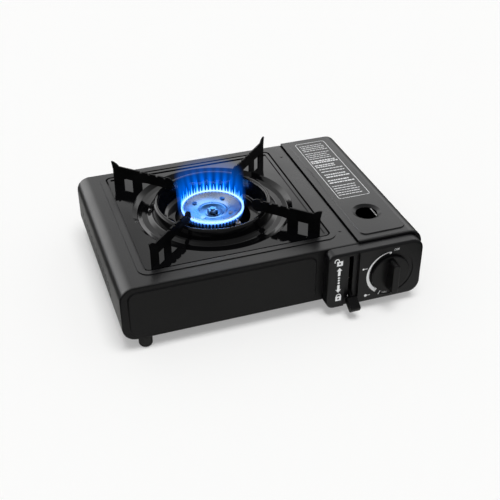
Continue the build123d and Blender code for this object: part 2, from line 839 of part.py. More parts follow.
# Burner bridge: a hat-shaped strip that carries the burner over the floor
with BuildPart() as burner_bridge:
    with BuildSketch(Plane.YZ.offset(burner_x - bridge_width / 2)):
        low, high = floor_z, bridge_z + bridge_sheet
        with Locations((burner_y, (low + high) / 2)):
            Rectangle(2 * bridge_half_span, high - low)
            with Locations((0, -bridge_sheet)):
                Rectangle(2 * (bridge_half_span - bridge_sheet), high - low, mode=Mode.SUBTRACT)
        for x, y in bridge_screws_at:
            with Locations((y, low + bridge_sheet / 2)):
                Rectangle(bridge_foot, bridge_sheet)
    extrude(amount=bridge_width)
    bar_z(
        burner_x, burner_y, throat_radius + slip_gap, bridge_z - sheet, bridge_z + 2 * bridge_sheet,
        Mode.SUBTRACT,
    )
    for x, y in bridge_screws_at + burner_screws_at:
        bar_z(x, y, screw_radius + fit_gap, floor_z - sheet, bridge_z + overrun, Mode.SUBTRACT)
burner_bridge.part.label = "burner_bridge"
export_step(burner_bridge.part, "parts/burner_bridge.step")


# Screws of the burner: through its lugs, through the bridge's feet, and the cap's
cap_top_z = centre_well_z + cap_height

with BuildPart() as burner_screws:
    for x, y in burner_screws_at:
        screw_down(x, y, bridge_z + bridge_sheet + cup_wall, 3 * bridge_sheet + cup_wall)
    for x, y in bridge_screws_at:
        screw_down(x, y, floor_z + bridge_sheet, bridge_sheet + 2 * sheet)
burner_screws.part.label = "burner_screws"
export_step(burner_screws.part, "parts/burner_screws.step")

with BuildPart() as cap_screw:
    screw_down(burner_x, burner_y, cap_top_z, cap_top_z - head_low_z + 2 * cup_wall)
cap_screw.part.label = "cap_screw"
export_step(cap_screw.part, "parts/cap_screw.step")

# Air shutter: a slotted sleeve round the mixing tube's mouth
with BuildPart() as air_shutter:
    shutter_x = mixer_end_x - shutter_length / 2
    bar_x(burner_y, mixer_z, bell_radius + fit_gap + shutter_wall, shutter_x, shutter_x + shutter_length)
    bar_x(
        burner_y, mixer_z, bell_radius + fit_gap, shutter_x - overrun,
        shutter_x + shutter_length + overrun, Mode.SUBTRACT,
    )
    with BuildSketch(Plane.XY.offset(mixer_z)):
        with Locations((mixer_end_x + shutter_length / 4 + sheet / 2, burner_y)):
            Rectangle(shutter_length / 4, 4 * bell_radius)
    extrude(amount=bell_radius / 4, both=True, mode=Mode.SUBTRACT)
air_shutter.part.label = "air_shutter"
export_step(air_shutter.part, "parts/air_shutter.step")

# Nozzle holder: an angle plate on the floor in front of the mixing tube's mouth
nozzle_radius = 3.6
nozzle_tip = 1.6
holder_reach = 18.0

with BuildPart() as nozzle_holder:
    block(
        holder_x, holder_x + bridge_sheet, burner_y - holder_reach, burner_y + bell_radius,
        floor_z, mixer_z + bell_radius,
    )
    block(
        holder_x, holder_x + holder_foot, burner_y - holder_reach, burner_y - bell_radius / 2,
        floor_z, floor_z + bridge_sheet,
    )
    bar_x(
        burner_y, mixer_z, nozzle_radius + fit_gap, holder_x - overrun,
        holder_x + overrun, Mode.SUBTRACT,
    )
    bar_z(
        *holder_screw_at, screw_radius + fit_gap, floor_z - sheet, floor_z + 2 * bridge_sheet,
        Mode.SUBTRACT,
    )
nozzle_holder.part.label = "nozzle_holder"
export_step(nozzle_holder.part, "parts/nozzle_holder.step")

with BuildPart() as holder_screw:
    screw_down(*holder_screw_at, floor_z + bridge_sheet, bridge_sheet + 2 * sheet)
holder_screw.part.label = "holder_screw"
export_step(holder_screw.part, "parts/holder_screw.step")

# Injector nozzle: a brass jet whose tip stands inside the mixing tube's mouth
with BuildPart() as injector_nozzle:
    with BuildSketch(Plane(origin=(0, burner_y, mixer_z), x_dir=(1, 0, 0), z_dir=(0, -1, 0))):
        with BuildLine():
            Polyline(
                (mixer_end_x - bell_length / 2, sheet / 2),
                (mixer_end_x - bell_length / 2, nozzle_tip),
                (mixer_end_x, nozzle_radius),
                (holder_x - bridge_sheet - fit_gap, nozzle_radius),
                (holder_x - bridge_sheet - fit_gap, nozzle_radius + nozzle_tip),
                (holder_x - fit_gap, nozzle_radius + nozzle_tip),
                (holder_x - fit_gap, nozzle_radius),
                (holder_x + bridge_sheet + sheet, nozzle_radius),
                (holder_x + bridge_sheet + sheet, sheet / 2),
                close=True,
            )
        make_face()
    revolve(axis=Axis((0, burner_y, mixer_z), (1, 0, 0)))
injector_nozzle.part.label = "injector_nozzle"
export_step(injector_nozzle.part, "parts/injector_nozzle.step")

# Gas pipe: from the valve's port, through the partition and round to the injector
port_x = knob_x - valve_radius
pipe_rise = 40.0
pipe_route = (
    (port_x + pipe_radius, gas_y, gas_z),
    (pipe_turn_x, gas_y, gas_z),
    (pipe_turn_x, burner_y - pipe_rise, gas_z),
    (pipe_turn_x, burner_y, mixer_z),
    (pipe_end_x + fit_gap, burner_y, mixer_z),
)

with BuildPart() as gas_pipe:
    tube_along(pipe_route, pipe_bend, pipe_radius, pipe_radius - pipe_wall)
gas_pipe.part.label = "gas_pipe"
export_step(gas_pipe.part, "parts/gas_pipe.step")

# Union nuts at the pipe's two ends
with BuildPart() as pipe_nuts:
    for x, y, z in (
        (port_x - nut_length - fit_gap, gas_y, gas_z),
        (pipe_end_x + fit_gap, burner_y, mixer_z),
    ):
        with BuildSketch(Plane.YZ.offset(x)):
            with Locations((y, z)):
                RegularPolygon(nut_radius, 6)
                Circle(pipe_radius + fit_gap, mode=Mode.SUBTRACT)
        extrude(amount=nut_length)
pipe_nuts.part.label = "pipe_nuts"
export_step(pipe_nuts.part, "parts/pipe_nuts.step")

# Valve and regulator: a cast barrel behind the front plate, with a seat for the
# cartridge at the back, a pipe port at the lower left and a diaphragm at the right
valve_front = front_y + valve_setback
valve_back = valve_front + valve_length
seat_front = valve_back + seat_length
cover_x = knob_x + valve_radius + screw_head_radius
piezo_angle = 190.0
piezo_x = knob_x + (valve_radius + piezo_radius + fit_gap) * cos(radians(piezo_angle))
piezo_z = knob_z + (valve_radius + piezo_radius + fit_gap) * sin(radians(piezo_angle))
piezo_front = front_y + 2 * sheet
cover_lip = cover_radius - 2 * screw_head_radius - sheet
cover_screw_ring = cover_radius - screw_head_radius - sheet / 2
cover_screws_at = [
    (
        cover_y + cover_screw_ring * cos(radians(turn)),
        knob_z + cover_screw_ring * sin(radians(turn)),
    )
    for turn in (45, 135, 225, 315)
]

with BuildPart() as regulator_body:
    bar_y(knob_x, knob_z, valve_radius, valve_front, valve_back)
    fillet(edges().filter_by(GeomType.CIRCLE).group_by(Axis.Y)[0], sheet)
    bar_y(knob_x, knob_z, valve_radius / 2, front_y + sheet, valve_front)
    bar_y(cartridge_x, cartridge_z, seat_radius + cup_wall, valve_back, seat_front)
    bar_x(cover_y, knob_z, cover_radius / 2, knob_x, cover_x)
    bar_x(cover_y, knob_z, cover_radius, cover_x - ear_sheet, cover_x)
    block(
        port_x, knob_x, gas_y - nut_radius, gas_y + nut_radius, gas_z - pipe_radius - cup_wall,
        knob_z - valve_radius / 2,
    )
    block(
        knob_x - ear_width / 2, knob_x + ear_width / 2, front_y + sheet, front_y + sheet + ear_sheet,
        knob_z - ear_reach, knob_z + ear_reach,
    )
    # A cradle under the igniter
    block(
        piezo_x - piezo_radius, port_x + piezo_radius, gas_y - piezo_radius, gas_y + piezo_radius,
        piezo_z - piezo_radius - cup_wall, piezo_z,
    )
    bar_y(piezo_x, piezo_z, piezo_radius + fit_gap, front_y, valve_back, Mode.SUBTRACT)
    bar_y(knob_x, knob_z, shaft_radius + shaft_gap, front_y, valve_back - cup_wall, Mode.SUBTRACT)
    bar_y(cartridge_x, cartridge_z, pipe_radius, valve_back, seat_front + overrun, Mode.SUBTRACT)
    bar_x(gas_y, gas_z, pipe_radius + fit_gap, port_x - overrun, port_x + nut_length, Mode.SUBTRACT)
    for x, z in regulator_screws_at:
        bar_y(x, z, screw_radius + fit_gap, front_y, front_y + 2 * ear_sheet, Mode.SUBTRACT)
    for y, z in cover_screws_at:
        bar_x(y, z, screw_radius, cover_x - 2 * ear_sheet, cover_x + ear_sheet, Mode.SUBTRACT)
regulator_body.part.label = "regulator_body"
export_step(regulator_body.part, "parts/regulator_body.step")

# Diaphragm cover, a shallow dome screwed to the regulator's right
with BuildPart() as regulator_cover:
    with BuildSketch(Plane(origin=(cover_x, cover_y, knob_z), x_dir=(0, 1, 0), z_dir=(0, 0, 1))):
        with BuildLine():
            Polyline(
                (0, 0), (cover_radius, 0), (cover_radius, -sheet), (cover_lip, -sheet),
                (cover_lip - 2 * sheet, -cover_depth + 2 * sheet),
                (cover_lip - 4 * sheet, -cover_depth), (0, -cover_depth), close=True,
            )
        make_face()
    revolve(axis=Axis((cover_x, cover_y, knob_z), (1, 0, 0)))
    for y, z in cover_screws_at:
        bar_x(y, z, screw_radius + fit_gap, cover_x - sheet, cover_x + 2 * sheet, Mode.SUBTRACT)
regulator_cover.part.label = "regulator_cover"
export_step(regulator_cover.part, "parts/regulator_cover.step")

with BuildPart() as cover_screws:
    for y, z in cover_screws_at:
        bar_x(y, z, screw_radius - shaft_gap, cover_x - ear_sheet, cover_x + sheet)
        bar_x(y, z, screw_head_radius, cover_x + sheet, cover_x + sheet + screw_head)
cover_screws.part.label = "cover_screws"
export_step(cover_screws.part, "parts/cover_screws.step")

# Brass seat that the cartridge's valve is pressed on, and its sealing ring
ring_radius = 5.2
ring_width = 1.6

with BuildPart() as cartridge_seat:
    bar_y(cartridge_x, cartridge_z, seat_radius, seat_front, seat_front + seat_length)
    bar_y(cartridge_x, cartridge_z, pipe_radius, seat_front, seat_front + seat_length, Mode.SUBTRACT)
    bar_y(
        cartridge_x, cartridge_z, ring_radius + fit_gap, seat_front + seat_length - ring_width,
        seat_front + seat_length, Mode.SUBTRACT,
    )
cartridge_seat.part.label = "cartridge_seat"
export_step(cartridge_seat.part, "parts/cartridge_seat.step")

with BuildPart() as seat_seal:
    bar_y(
        cartridge_x, cartridge_z, ring_radius, seat_front + seat_length - ring_width,
        seat_front + seat_length,
    )
    bar_y(
        cartridge_x, cartridge_z, ring_radius - ring_width, seat_front, seat_front + 2 * seat_length,
        Mode.SUBTRACT,
    )
seat_seal.part.label = "seat_seal"
export_step(seat_seal.part, "parts/seat_seal.step")

# Screws that hold the regulator's ears to the front plate
with BuildPart() as regulator_screws:
    for x, z in regulator_screws_at:
        bar_y(x, z, screw_radius, front_y, front_y + sheet + ear_sheet)
        bar_y(x, z, screw_head_radius, front_y - screw_head, front_y)
regulator_screws.part.label = "regulator_screws"
export_step(regulator_screws.part, "parts/regulator_screws.step")

# Igniter, its lead, and the electrode beside the burner head
electrode_angle = -60.0
electrode_ring = (burner_radius + bowl_hole_radius) / 2 + sheet / 2
electrode_x = burner_x + electrode_ring * cos(radians(electrode_angle))
electrode_y = burner_y + electrode_ring * sin(radians(electrode_angle))
insulator_low = bridge_z - 2 * insulator_radius
insulator_high = head_top_z - 2 * insulator_radius
arm_z = bridge_z + bridge_sheet
lead_start = piezo_front + piezo_length

with BuildPart() as piezo_igniter:
    bar_y(piezo_x, piezo_z, piezo_radius, piezo_front, lead_start)
    chamfer(edges().filter_by(GeomType.CIRCLE), sheet)
piezo_igniter.part.label = "piezo_igniter"
export_step(piezo_igniter.part, "parts/piezo_igniter.step")

with BuildPart() as electrode_insulator:
    bar_z(electrode_x, electrode_y, insulator_radius, insulator_low, insulator_high)
    bar_z(electrode_x, electrode_y, insulator_radius + sheet, arm_z + sheet, arm_z + 3 * sheet)
    bar_z(electrode_x, electrode_y, electrode_radius, insulator_low, insulator_high, Mode.SUBTRACT)
electrode_insulator.part.label = "electrode_insulator"
export_step(electrode_insulator.part, "parts/electrode_insulator.step")

# The electrode's wire stands up through the insulator and leans over to the ports
wire_bend = 1.1
wire_top = insulator_high + 2 * electrode_radius + sheet
wire_reach = electrode_ring - burner_radius - 3 * electrode_radius
toward = (-cos(radians(electrode_angle)), -sin(radians(electrode_angle)))
wire_route = (
    (electrode_x, electrode_y, insulator_low),
    (electrode_x, electrode_y, wire_top),
    (electrode_x + wire_reach * toward[0], electrode_y + wire_reach * toward[1], wire_top),
)

with BuildPart() as igniter_electrode:
    tube_along(wire_route, wire_bend, electrode_radius - shaft_gap)
igniter_electrode.part.label = "igniter_electrode"
export_step(igniter_electrode.part, "parts/igniter_electrode.step")

with BuildPart() as electrode_clip:
    block(
        burner_x + bridge_width / 4, electrode_x + 2 * insulator_radius,
        electrode_y - 2 * insulator_radius, electrode_y + 2 * insulator_radius, arm_z, arm_z + sheet,
    )
    bar_z(
        electrode_x, electrode_y, insulator_radius + fit_gap, arm_z - sheet, arm_z + 2 * sheet,
        Mode.SUBTRACT,
    )
electrode_clip.part.label = "electrode_clip"
export_step(electrode_clip.part, "parts/electrode_clip.step")

# The lead drops behind the lever's pivot, passes the partition and crosses the floor
lead_drop_x = piezo_x - 2 * lead_bend
lead_route = (
    (piezo_x, lead_start, piezo_z),
    (piezo_x, lead_y, piezo_z),
    (lead_drop_x, lead_y, lead_z),
    (partition_x - 2 * lead_bend, lead_y, lead_z),
    (electrode_x + 3 * lead_bend, electrode_y - 3 * lead_bend, floor_z + lead_bend),
    (electrode_x, electrode_y, floor_z + lead_bend),
    (electrode_x, electrode_y, insulator_low),
)

with BuildPart() as ignition_lead:
    tube_along(lead_route, lead_bend, lead_radius)
ignition_lead.part.label = "ignition_lead"
export_step(ignition_lead.part, "parts/ignition_lead.step")

# Lid of the cartridge bay: a shell with a raised panel, a finger hole in a dimple
# and one knuckle between the case's two at each hinge
lid_front = shell_front_y + slip_gap
lid_back = shell_back_y - slip_gap
lid_edge_z = hinge_z + hinge_clear
emboss_margin = 7.5
emboss_end_margin = 10.0
emboss_right_margin = 15.0
emboss_corner = 8.0
emboss_rise = 1.2
emboss_taper = 40.0
lid_hole_radius = 12.8
dimple_radius = 17.0
dimple_depth = 2.4
lid_hole_setback = 54.2
lid_hole_y = front_y + lid_hole_setback
emboss_x = (lid_left_x + emboss_margin + right_x - emboss_right_margin) / 2
emboss_y = (front_y + back_y) / 2
emboss_width = lid_width - emboss_margin - emboss_right_margin
emboss_length = body_depth - 2 * emboss_end_margin

with BuildPart() as bay_lid:
    with BuildSketch(across(lid_front)):
        end_view(0)
        end_view(sheet, mode=Mode.SUBTRACT)
        region(left_x - overrun, lid_left_x, 0, lid_top_z + overrun, mode=Mode.SUBTRACT)
        region(left_x, right_x + overrun, 0, lid_edge_z, mode=Mode.SUBTRACT)
        region(lid_left_x, lid_left_x + sheet, lid_top_z - lid_hem, lid_top_z)
    extrude(amount=lid_front - lid_back)
    for drop, less, mode in ((0, 0, Mode.ADD), (sheet, 2 * sheet, Mode.SUBTRACT)):
        with BuildSketch(Plane.XY.offset(lid_top_z - drop)):
            with Locations((emboss_x, emboss_y)):
                RectangleRounded(emboss_width - less, emboss_length - less, emboss_corner - less / 2)
        extrude(amount=emboss_rise, taper=emboss_taper, mode=mode)
    # The dimple: a cone pressed down round the finger hole
    dimple_at = Plane(
        origin=(knob_x, lid_hole_y, lid_top_z + emboss_rise), x_dir=(1, 0, 0), z_dir=(0, -1, 0),
    )
    bar_z(knob_x, lid_hole_y, dimple_radius, lid_top_z - overrun, lid_top_z + overrun, Mode.SUBTRACT)
    with BuildSketch(dimple_at):
        with BuildLine():
            Polyline(
                (lid_hole_radius, -dimple_depth), (dimple_radius, 0), (dimple_radius + fit_gap, 0),
                (dimple_radius + fit_gap, -sheet), (lid_hole_radius, -dimple_depth - sheet), close=True,
            )
        make_face()
    revolve(axis=Axis((knob_x, lid_hole_y, 0), (0, 0, 1)))
    for station in hinge_stations:
        low, high = station - knuckle_length / 2, station + knuckle_length / 2
        block(right_x - sheet, right_x, low, high, hinge_z, lid_edge_z)
        bar_y(hinge_x, hinge_z, knuckle_radius, low, high)
        bar_y(
            hinge_x, hinge_z, hinge_pin_radius + shaft_gap, low - overrun, high + overrun, Mode.SUBTRACT,
        )
bay_lid.part.label = "bay_lid"
export_step(bay_lid.part, "parts/bay_lid.step")

with BuildPart() as lid_hinge_pins:
    for station in hinge_stations:
        reach = 3 * knuckle_length / 2 + slip_gap
        bar_y(hinge_x, hinge_z, hinge_pin_radius, station - reach, station + reach)
lid_hinge_pins.part.label = "lid_hinge_pins"
export_step(lid_hinge_pins.part, "parts/lid_hinge_pins.step")


# Control housing: a moulded cover over the front plate's right half, with a pad at
# the left, an open recess for the lever and a dial panel at the right
def housing_outline(inset):
    left, right = housing_left + inset, housing_right - inset
    low, high = housing_low + inset, housing_high - inset
    small, large = pad_corner - inset, panel_corner - inset
    with BuildLine() as edge:
        Line((left + small, low), (right - large, low))
        CenterArc((right - large, low + large), large, 270, 90)
        Line((right, low + large), (right, high - large))
        CenterArc((right - large, high - large), large, 0, 90)
        Line((right - large, high), (left + small, high))
        CenterArc((left + small, high - small), small, 90, 90)
        Line((left, high - small), (left, low + small))
        CenterArc((left + small, low + small), small, 180, 90)
    make_face(edge.edges())


half_swing = radians(lever_swing / 2)
recess_y = housing_face_y + recess_depth
slot_half = (pivot_y - recess_y) * tan(half_swing) + lever_width / (2 * cos(half_swing)) + slip_gap
recess_top = housing_high - housing_wall

with BuildPart() as control_housing:
    with BuildSketch(across(front_y)):
        housing_outline(0)
    extrude(amount=housing_depth)
    fillet(faces().sort_by(Axis.Y)[0].outer_wire().edges(), housing_round)
    # Hollow from the back, first behind the recess and then on either side of it
    with BuildSketch(across(front_y)):
        housing_outline(housing_wall)
    extrude(amount=housing_depth - recess_depth - housing_wall, mode=Mode.SUBTRACT)
    for x_low, x_high in (
        (housing_left, recess_left - housing_wall),
        (recess_right + housing_wall, housing_right),
    ):
        with BuildSketch(across(front_y)) as pocket:
            housing_outline(housing_wall)
            region(x_low, x_high, housing_low, housing_high, mode=Mode.INTERSECT)
        extrude(pocket.sketch, amount=housing_depth - housing_wall, mode=Mode.SUBTRACT)
    block(
        recess_left, recess_right, housing_face_y - overrun, recess_y, housing_low - overrun,
        recess_top, Mode.SUBTRACT,
    )
    block(
        lever_x - slot_width / 2, lever_x + slot_width / 2, recess_y - overrun,
        recess_y + housing_wall + overrun, pivot_z - slot_half, pivot_z + slot_half, Mode.SUBTRACT,
    )
    bar_y(
        knob_x, knob_z, dial_radius, housing_face_y - overrun,
        housing_face_y + dial_recess_depth, Mode.SUBTRACT,
    )
    bar_y(
        knob_x, knob_z, shaft_radius + 2 * fit_gap + slip_gap, housing_face_y - overrun,
        front_y, Mode.SUBTRACT,
    )
    for x, z in housing_screws_at:
        bar_y(x, z, housing_boss_radius, housing_face_y + housing_wall, front_y)
        bar_y(x, z, screw_radius + fit_gap, front_y - 2 * overrun, front_y, Mode.SUBTRACT)
control_housing.part.label = "control_housing"
export_step(control_housing.part, "parts/control_housing.step")

with BuildPart() as housing_screws:
    for x, z in housing_screws_at:
        bar_y(x, z, screw_radius, front_y - 2 * overrun, front_y + sheet)
        bar_y(x, z, screw_head_radius, front_y + sheet, front_y + sheet + screw_head)
housing_screws.part.label = "housing_screws"
export_step(housing_screws.part, "parts/housing_screws.step")

# Knob: a round disc with a rounded grip bar across it, on the valve's shaft
knob_back_y = housing_face_y + dial_recess_depth - slip_gap
knob_front_y = housing_face_y - knob_reach
knob_rim_y = knob_back_y - knob_disc
knob_edge = 1.0
grip_taper = 4.0
socket_depth = 9.0

with BuildPart() as knob:
    bar_y(knob_x, knob_z, knob_radius, knob_rim_y, knob_back_y)
    fillet(edges().filter_by(GeomType.CIRCLE).group_by(Axis.Y)[0], knob_edge)
    with BuildSketch(across(knob_rim_y)):
        with Locations((knob_x, knob_z)):
            SlotOverall(grip_length, grip_width, rotation=90)
    extrude(amount=knob_rim_y - knob_front_y, taper=grip_taper)
    fillet(faces().sort_by(Axis.Y)[0].outer_wire().edges(), knob_edge)
    bar_y(
        knob_x, knob_z, shaft_radius + shaft_gap, knob_back_y - socket_depth, knob_back_y, Mode.SUBTRACT,
    )
knob.part.label = "knob"
export_step(knob.part, "parts/knob.step")

with BuildPart() as knob_shaft:
    bar_y(knob_x, knob_z, shaft_radius, knob_back_y - socket_depth, valve_back - cup_wall - slip_gap)
knob_shaft.part.label = "knob_shaft"
export_step(knob_shaft.part, "parts/knob_shaft.step")

# Lever: a plate that swings on a pin, a short finger above the pin and a grip
lever_down = Plane(
    origin=(lever_x - lever_thickness / 2, pivot_y, pivot_z),
    x_dir=(0, -cos(half_swing), -sin(half_swing)), z_dir=(1, 0, 0),
)
finger_y = pivot_y - drive_offset * sin(half_swing)
finger_z = pivot_z + drive_offset * cos(half_swing)
tab_x = lever_x + lever_thickness / 2 + 2 * lever_thickness
drive_end_x = tab_x + latch_sheet + slip_gap
hub_low_x = partition_x + sheet + slip_gap
grip_start = lever_reach - handle_length
tang_length = 12.0

with BuildPart() as lever:
    with BuildSketch(lever_down):
        Circle(lever_hub_radius)
        with Locations(((grip_start + tang_length) / 2, 0)):
            Rectangle(grip_start + tang_length, lever_width)
        with Locations((0, -drive_offset / 2)):
            Rectangle(lever_width, drive_offset)
        with Locations((0, -drive_offset)):
            Circle(lever_width / 2)
    extrude(amount=lever_thickness)
    bar_x(pivot_y, pivot_z, lever_hub_radius, hub_low_x, lever_x)
    bar_x(pivot_y, pivot_z, pivot_radius + shaft_gap, hub_low_x - overrun, tab_x, Mode.SUBTRACT)
    bar_x(finger_y, finger_z, drive_radius, lever_x, drive_end_x)
lever.part.label = "lever"
export_step(lever.part, "parts/lever.step")

with BuildPart() as lever_grip:
    with BuildSketch(lever_down.offset(lever_thickness / 2 - handle_width / 2)):
        with Locations((grip_start + handle_length / 2, 0)):
            RectangleRounded(handle_length, handle_height, handle_height / 3)
    extrude(amount=handle_width)
    for side in (0, -1):
        fillet(faces().sort_by(Axis.X)[side].outer_wire().edges(), knob_edge / 2)
    with BuildSketch(lever_down.offset(-shaft_gap)):
        with Locations((grip_start + tang_length / 2, 0)):
            Rectangle(tang_length + 2 * shaft_gap, lever_width + 2 * shaft_gap)
    extrude(amount=lever_thickness + 2 * shaft_gap, mode=Mode.SUBTRACT)
lever_grip.part.label = "lever_grip"
export_step(lever_grip.part, "parts/lever_grip.step")

# Pin that the lever swings on, riveted into the partition
pivot_head = 1.0
with BuildPart() as lever_pivot_pin:
    end_x = lever_x + lever_thickness / 2 + slip_gap
    bar_x(pivot_y, pivot_z, pivot_radius, partition_x - pivot_head, end_x)
    bar_x(pivot_y, pivot_z, 2 * pivot_radius, partition_x - pivot_head, partition_x)
    bar_x(pivot_y, pivot_z, 2 * pivot_radius, end_x, end_x + pivot_head)
lever_pivot_pin.part.label = "lever_pivot_pin"
export_step(lever_pivot_pin.part, "parts/lever_pivot_pin.step")

# Latch plate: slides back and forth on two rods, driven by the lever's finger, and
# presses the cartridge's collar forward
latch_right_margin = 7.0
latch_shoulder = 12.0
latch_low_gap = 4.0
tab_wall = 3.0
latch_left_x = tab_x
latch_right_x = right_x - latch_right_margin
latch_low_z = floor_z + latch_low_gap
latch_high_z = cartridge_z + seat_radius + latch_shoulder
tab_half = drive_radius + tab_wall
latch_travel = 2 * drive_offset * sin(half_swing)
rods_at = (
    (latch_left_x + 5 * guide_radius + lever_thickness, pivot_z + lever_width * 2),
    (latch_right_x - 3 * guide_radius, latch_low_z + 5 * guide_radius),
)
rod_end_y = latch_y + latch_sheet + latch_travel + slip_gap
rod_head = 1.2

with BuildPart() as latch_plate:
    with BuildSketch(across(latch_y)):
        region(latch_left_x, latch_right_x, latch_low_z, latch_high_z)
        with Locations((cartridge_x, cartridge_z)):
            Circle(collar_slot_radius, mode=Mode.SUBTRACT)
        region(
            cartridge_x - collar_slot_radius, cartridge_x + collar_slot_radius, cartridge_z,
            latch_high_z + overrun, mode=Mode.SUBTRACT,
        )
        region(
            latch_left_x, latch_left_x + 4 * lever_thickness, latch_low_z, pivot_z - lever_hub_radius,
            mode=Mode.SUBTRACT,
        )
        with Locations(*rods_at):
            Circle(guide_radius + shaft_gap, mode=Mode.SUBTRACT)
    extrude(amount=-latch_sheet)
    # A side tab with an upright slot takes the lever's finger
    block(
        tab_x, tab_x + latch_sheet, finger_y - tab_half, latch_y + latch_sheet,
        finger_z - tab_half, pivot_z + drive_offset + tab_half,
    )
    slot_gap = drive_radius + slip_gap
    block(
        tab_x - overrun, tab_x + latch_sheet + overrun, finger_y - slot_gap, finger_y + slot_gap,
        finger_z - slot_gap, pivot_z + drive_offset + slot_gap, Mode.SUBTRACT,
    )
latch_plate.part.label = "latch_plate"
export_step(latch_plate.part, "parts/latch_plate.step")

with BuildPart() as latch_rods:
    for x, z in rods_at:
        bar_y(x, z, guide_radius, front_y + sheet, rod_end_y)
        bar_y(x, z, 2 * guide_radius, rod_end_y, rod_end_y + rod_head)
        bar_y(x, z, 2 * guide_radius, front_y + sheet, front_y + sheet + rod_head)
latch_rods.part.label = "latch_rods"
export_step(latch_rods.part, "parts/latch_rods.step")

# Rubber feet with a flange that a screw passes up through
with BuildPart() as feet:
    for x, y in foot_places:
        with BuildSketch(Plane(origin=(x, y, 0), x_dir=(1, 0, 0), z_dir=(0, -1, 0))):
            with BuildLine():
                Polyline((0, 0), (foot_radius - foot_round, 0))
                RadiusArc(
                    (foot_radius - foot_round, 0), (foot_radius, foot_round), -foot_round,
                )
                Polyline((foot_radius, foot_round), (foot_radius, base_z), (0, base_z), (0, 0))
            make_face()
        revolve(axis=Axis((x, y, 0), (0, 0, 1)))
        block(
            x, x + foot_flange_reach - foot_radius / 2, y - foot_radius / 2, y + foot_radius / 2,
            base_z - foot_flange, base_z,
        )
        flange_end = x + foot_flange_reach - foot_radius / 2
        bar_z(flange_end, y, foot_radius / 2, base_z - foot_flange, base_z)
        bar_z(
            x + foot_screw_reach, y, screw_radius + fit_gap, base_z - foot_flange - sheet,
            base_z + sheet, Mode.SUBTRACT,
        )
feet.part.label = "feet"
export_step(feet.part, "parts/feet.step")

with BuildPart() as foot_screws:
    for x, y in foot_screws_at:
        bar_z(x, y, screw_radius, base_z - foot_flange, floor_z + sheet)
        bar_z(x, y, screw_head_radius, base_z - foot_flange - screw_head, base_z - foot_flange)
foot_screws.part.label = "foot_screws"
export_step(foot_screws.part, "parts/foot_screws.step")

with BuildPart() as plate_screws:
    for y in plate_screws_at:
        countersink(y, 0)
plate_screws.part.label = "plate_screws"
export_step(plate_screws.part, "parts/plate_screws.step")
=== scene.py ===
import random
from math import cos, pi, radians, sin

import bmesh
import bpy
from mathutils import Matrix, Vector


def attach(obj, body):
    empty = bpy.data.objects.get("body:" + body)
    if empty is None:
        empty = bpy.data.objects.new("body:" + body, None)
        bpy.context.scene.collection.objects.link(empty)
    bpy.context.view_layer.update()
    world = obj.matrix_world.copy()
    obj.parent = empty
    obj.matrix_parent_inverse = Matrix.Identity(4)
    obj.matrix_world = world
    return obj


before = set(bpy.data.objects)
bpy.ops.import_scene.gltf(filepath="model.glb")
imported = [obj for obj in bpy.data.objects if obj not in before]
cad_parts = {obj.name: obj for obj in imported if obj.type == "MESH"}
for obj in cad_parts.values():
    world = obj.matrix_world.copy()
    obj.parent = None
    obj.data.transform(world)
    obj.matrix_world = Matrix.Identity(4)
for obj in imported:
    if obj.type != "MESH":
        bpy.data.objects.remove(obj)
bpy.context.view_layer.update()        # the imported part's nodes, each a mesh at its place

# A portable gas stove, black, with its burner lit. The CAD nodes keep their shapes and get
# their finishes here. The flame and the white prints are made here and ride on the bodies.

mm = 0.001
burnerCentre = (-33.65 * mm, 21.3 * mm)         # x and y of the burner's upright axis
scene = bpy.context.scene
scene.view_settings.view_transform = "Standard"
print("frame loaded with", len(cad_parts), "nodes")


# Small helpers for materials

colourA, colourB, mixedColour = 6, 7, 2         # a colour Mix node's two inputs and its output
noiseSpan = {"From Min": 0.3, "From Max": 0.7}  # a noise's values mostly lie between these
white = (1, 1, 1, 1)


def linearColour(hexText):
    # sRGB hex to linear light, with full alpha
    parts = [int(hexText[i:i + 2], 16) / 255 for i in (1, 3, 5)]
    linear = [p / 12.92 if p <= 0.04045 else ((p + 0.055) / 1.055) ** 2.4 for p in parts]
    return (*linear, 1.0)


def perMetre(sizeMm):
    # Noise scale whose grains are about this many millimetres. Grains that are really too
    # fine to show, as on paint, castings and plastic, are drawn 0.5 to 1 mm.
    return 1000.0 / sizeMm


def linesPerMetre(spacingMm):
    # Wave scale whose lines lie this many millimetres apart. Real tool marks lie closer, but
    # wouldn't show.
    return 2 * pi / 20 * 1000.0 / spacingMm


def addNode(owner, kind, inputs=None, stops=(), **settings):
    # One node of a material or the world. Settings go on the node, inputs are values or the
    # sockets that feed them, and stops are a ramp's points: position and linear colour.
    tree = owner.node_tree
    node = tree.nodes.new("ShaderNode" + kind)
    for name, value in settings.items():
        setattr(node, name, value)
    for name, value in (inputs or {}).items():
        if isinstance(value, bpy.types.NodeSocket):
            tree.links.new(value, node.inputs[name])
        else:
            node.inputs[name].default_value = value
    if stops:
        points = node.color_ramp.elements
        points[0].position, points[0].color = stops[0]
        points[1].position, points[1].color = stops[-1]
        for position, colour in stops[1:-1]:
            points.new(position).color = colour
    return node


def startMaterial(name):
    # an empty material, and the coordinates that its patterns read
    material = bpy.data.materials.new(name)
    material.use_nodes = True
    material.node_tree.nodes.clear()
    return material, addNode(material, "TexCoord").outputs["Object"]


def endMaterial(material, surface):
    addNode(material, "OutputMaterial", {"Surface": surface.outputs[0]})
    return material


# Camera, floor and light

cameraPlace = {
    "location": (-0.2862, -0.8511, 0.6371),     # metres
    "turnedRight": 18.934,                      # degrees from +Y
    "lookingDown": 34.221,
    "roll": -0.219,
    "lens": 64.55,                              # millimetres
    "sensor": 36.0,
    "nearest": 0.05,                            # metres
}


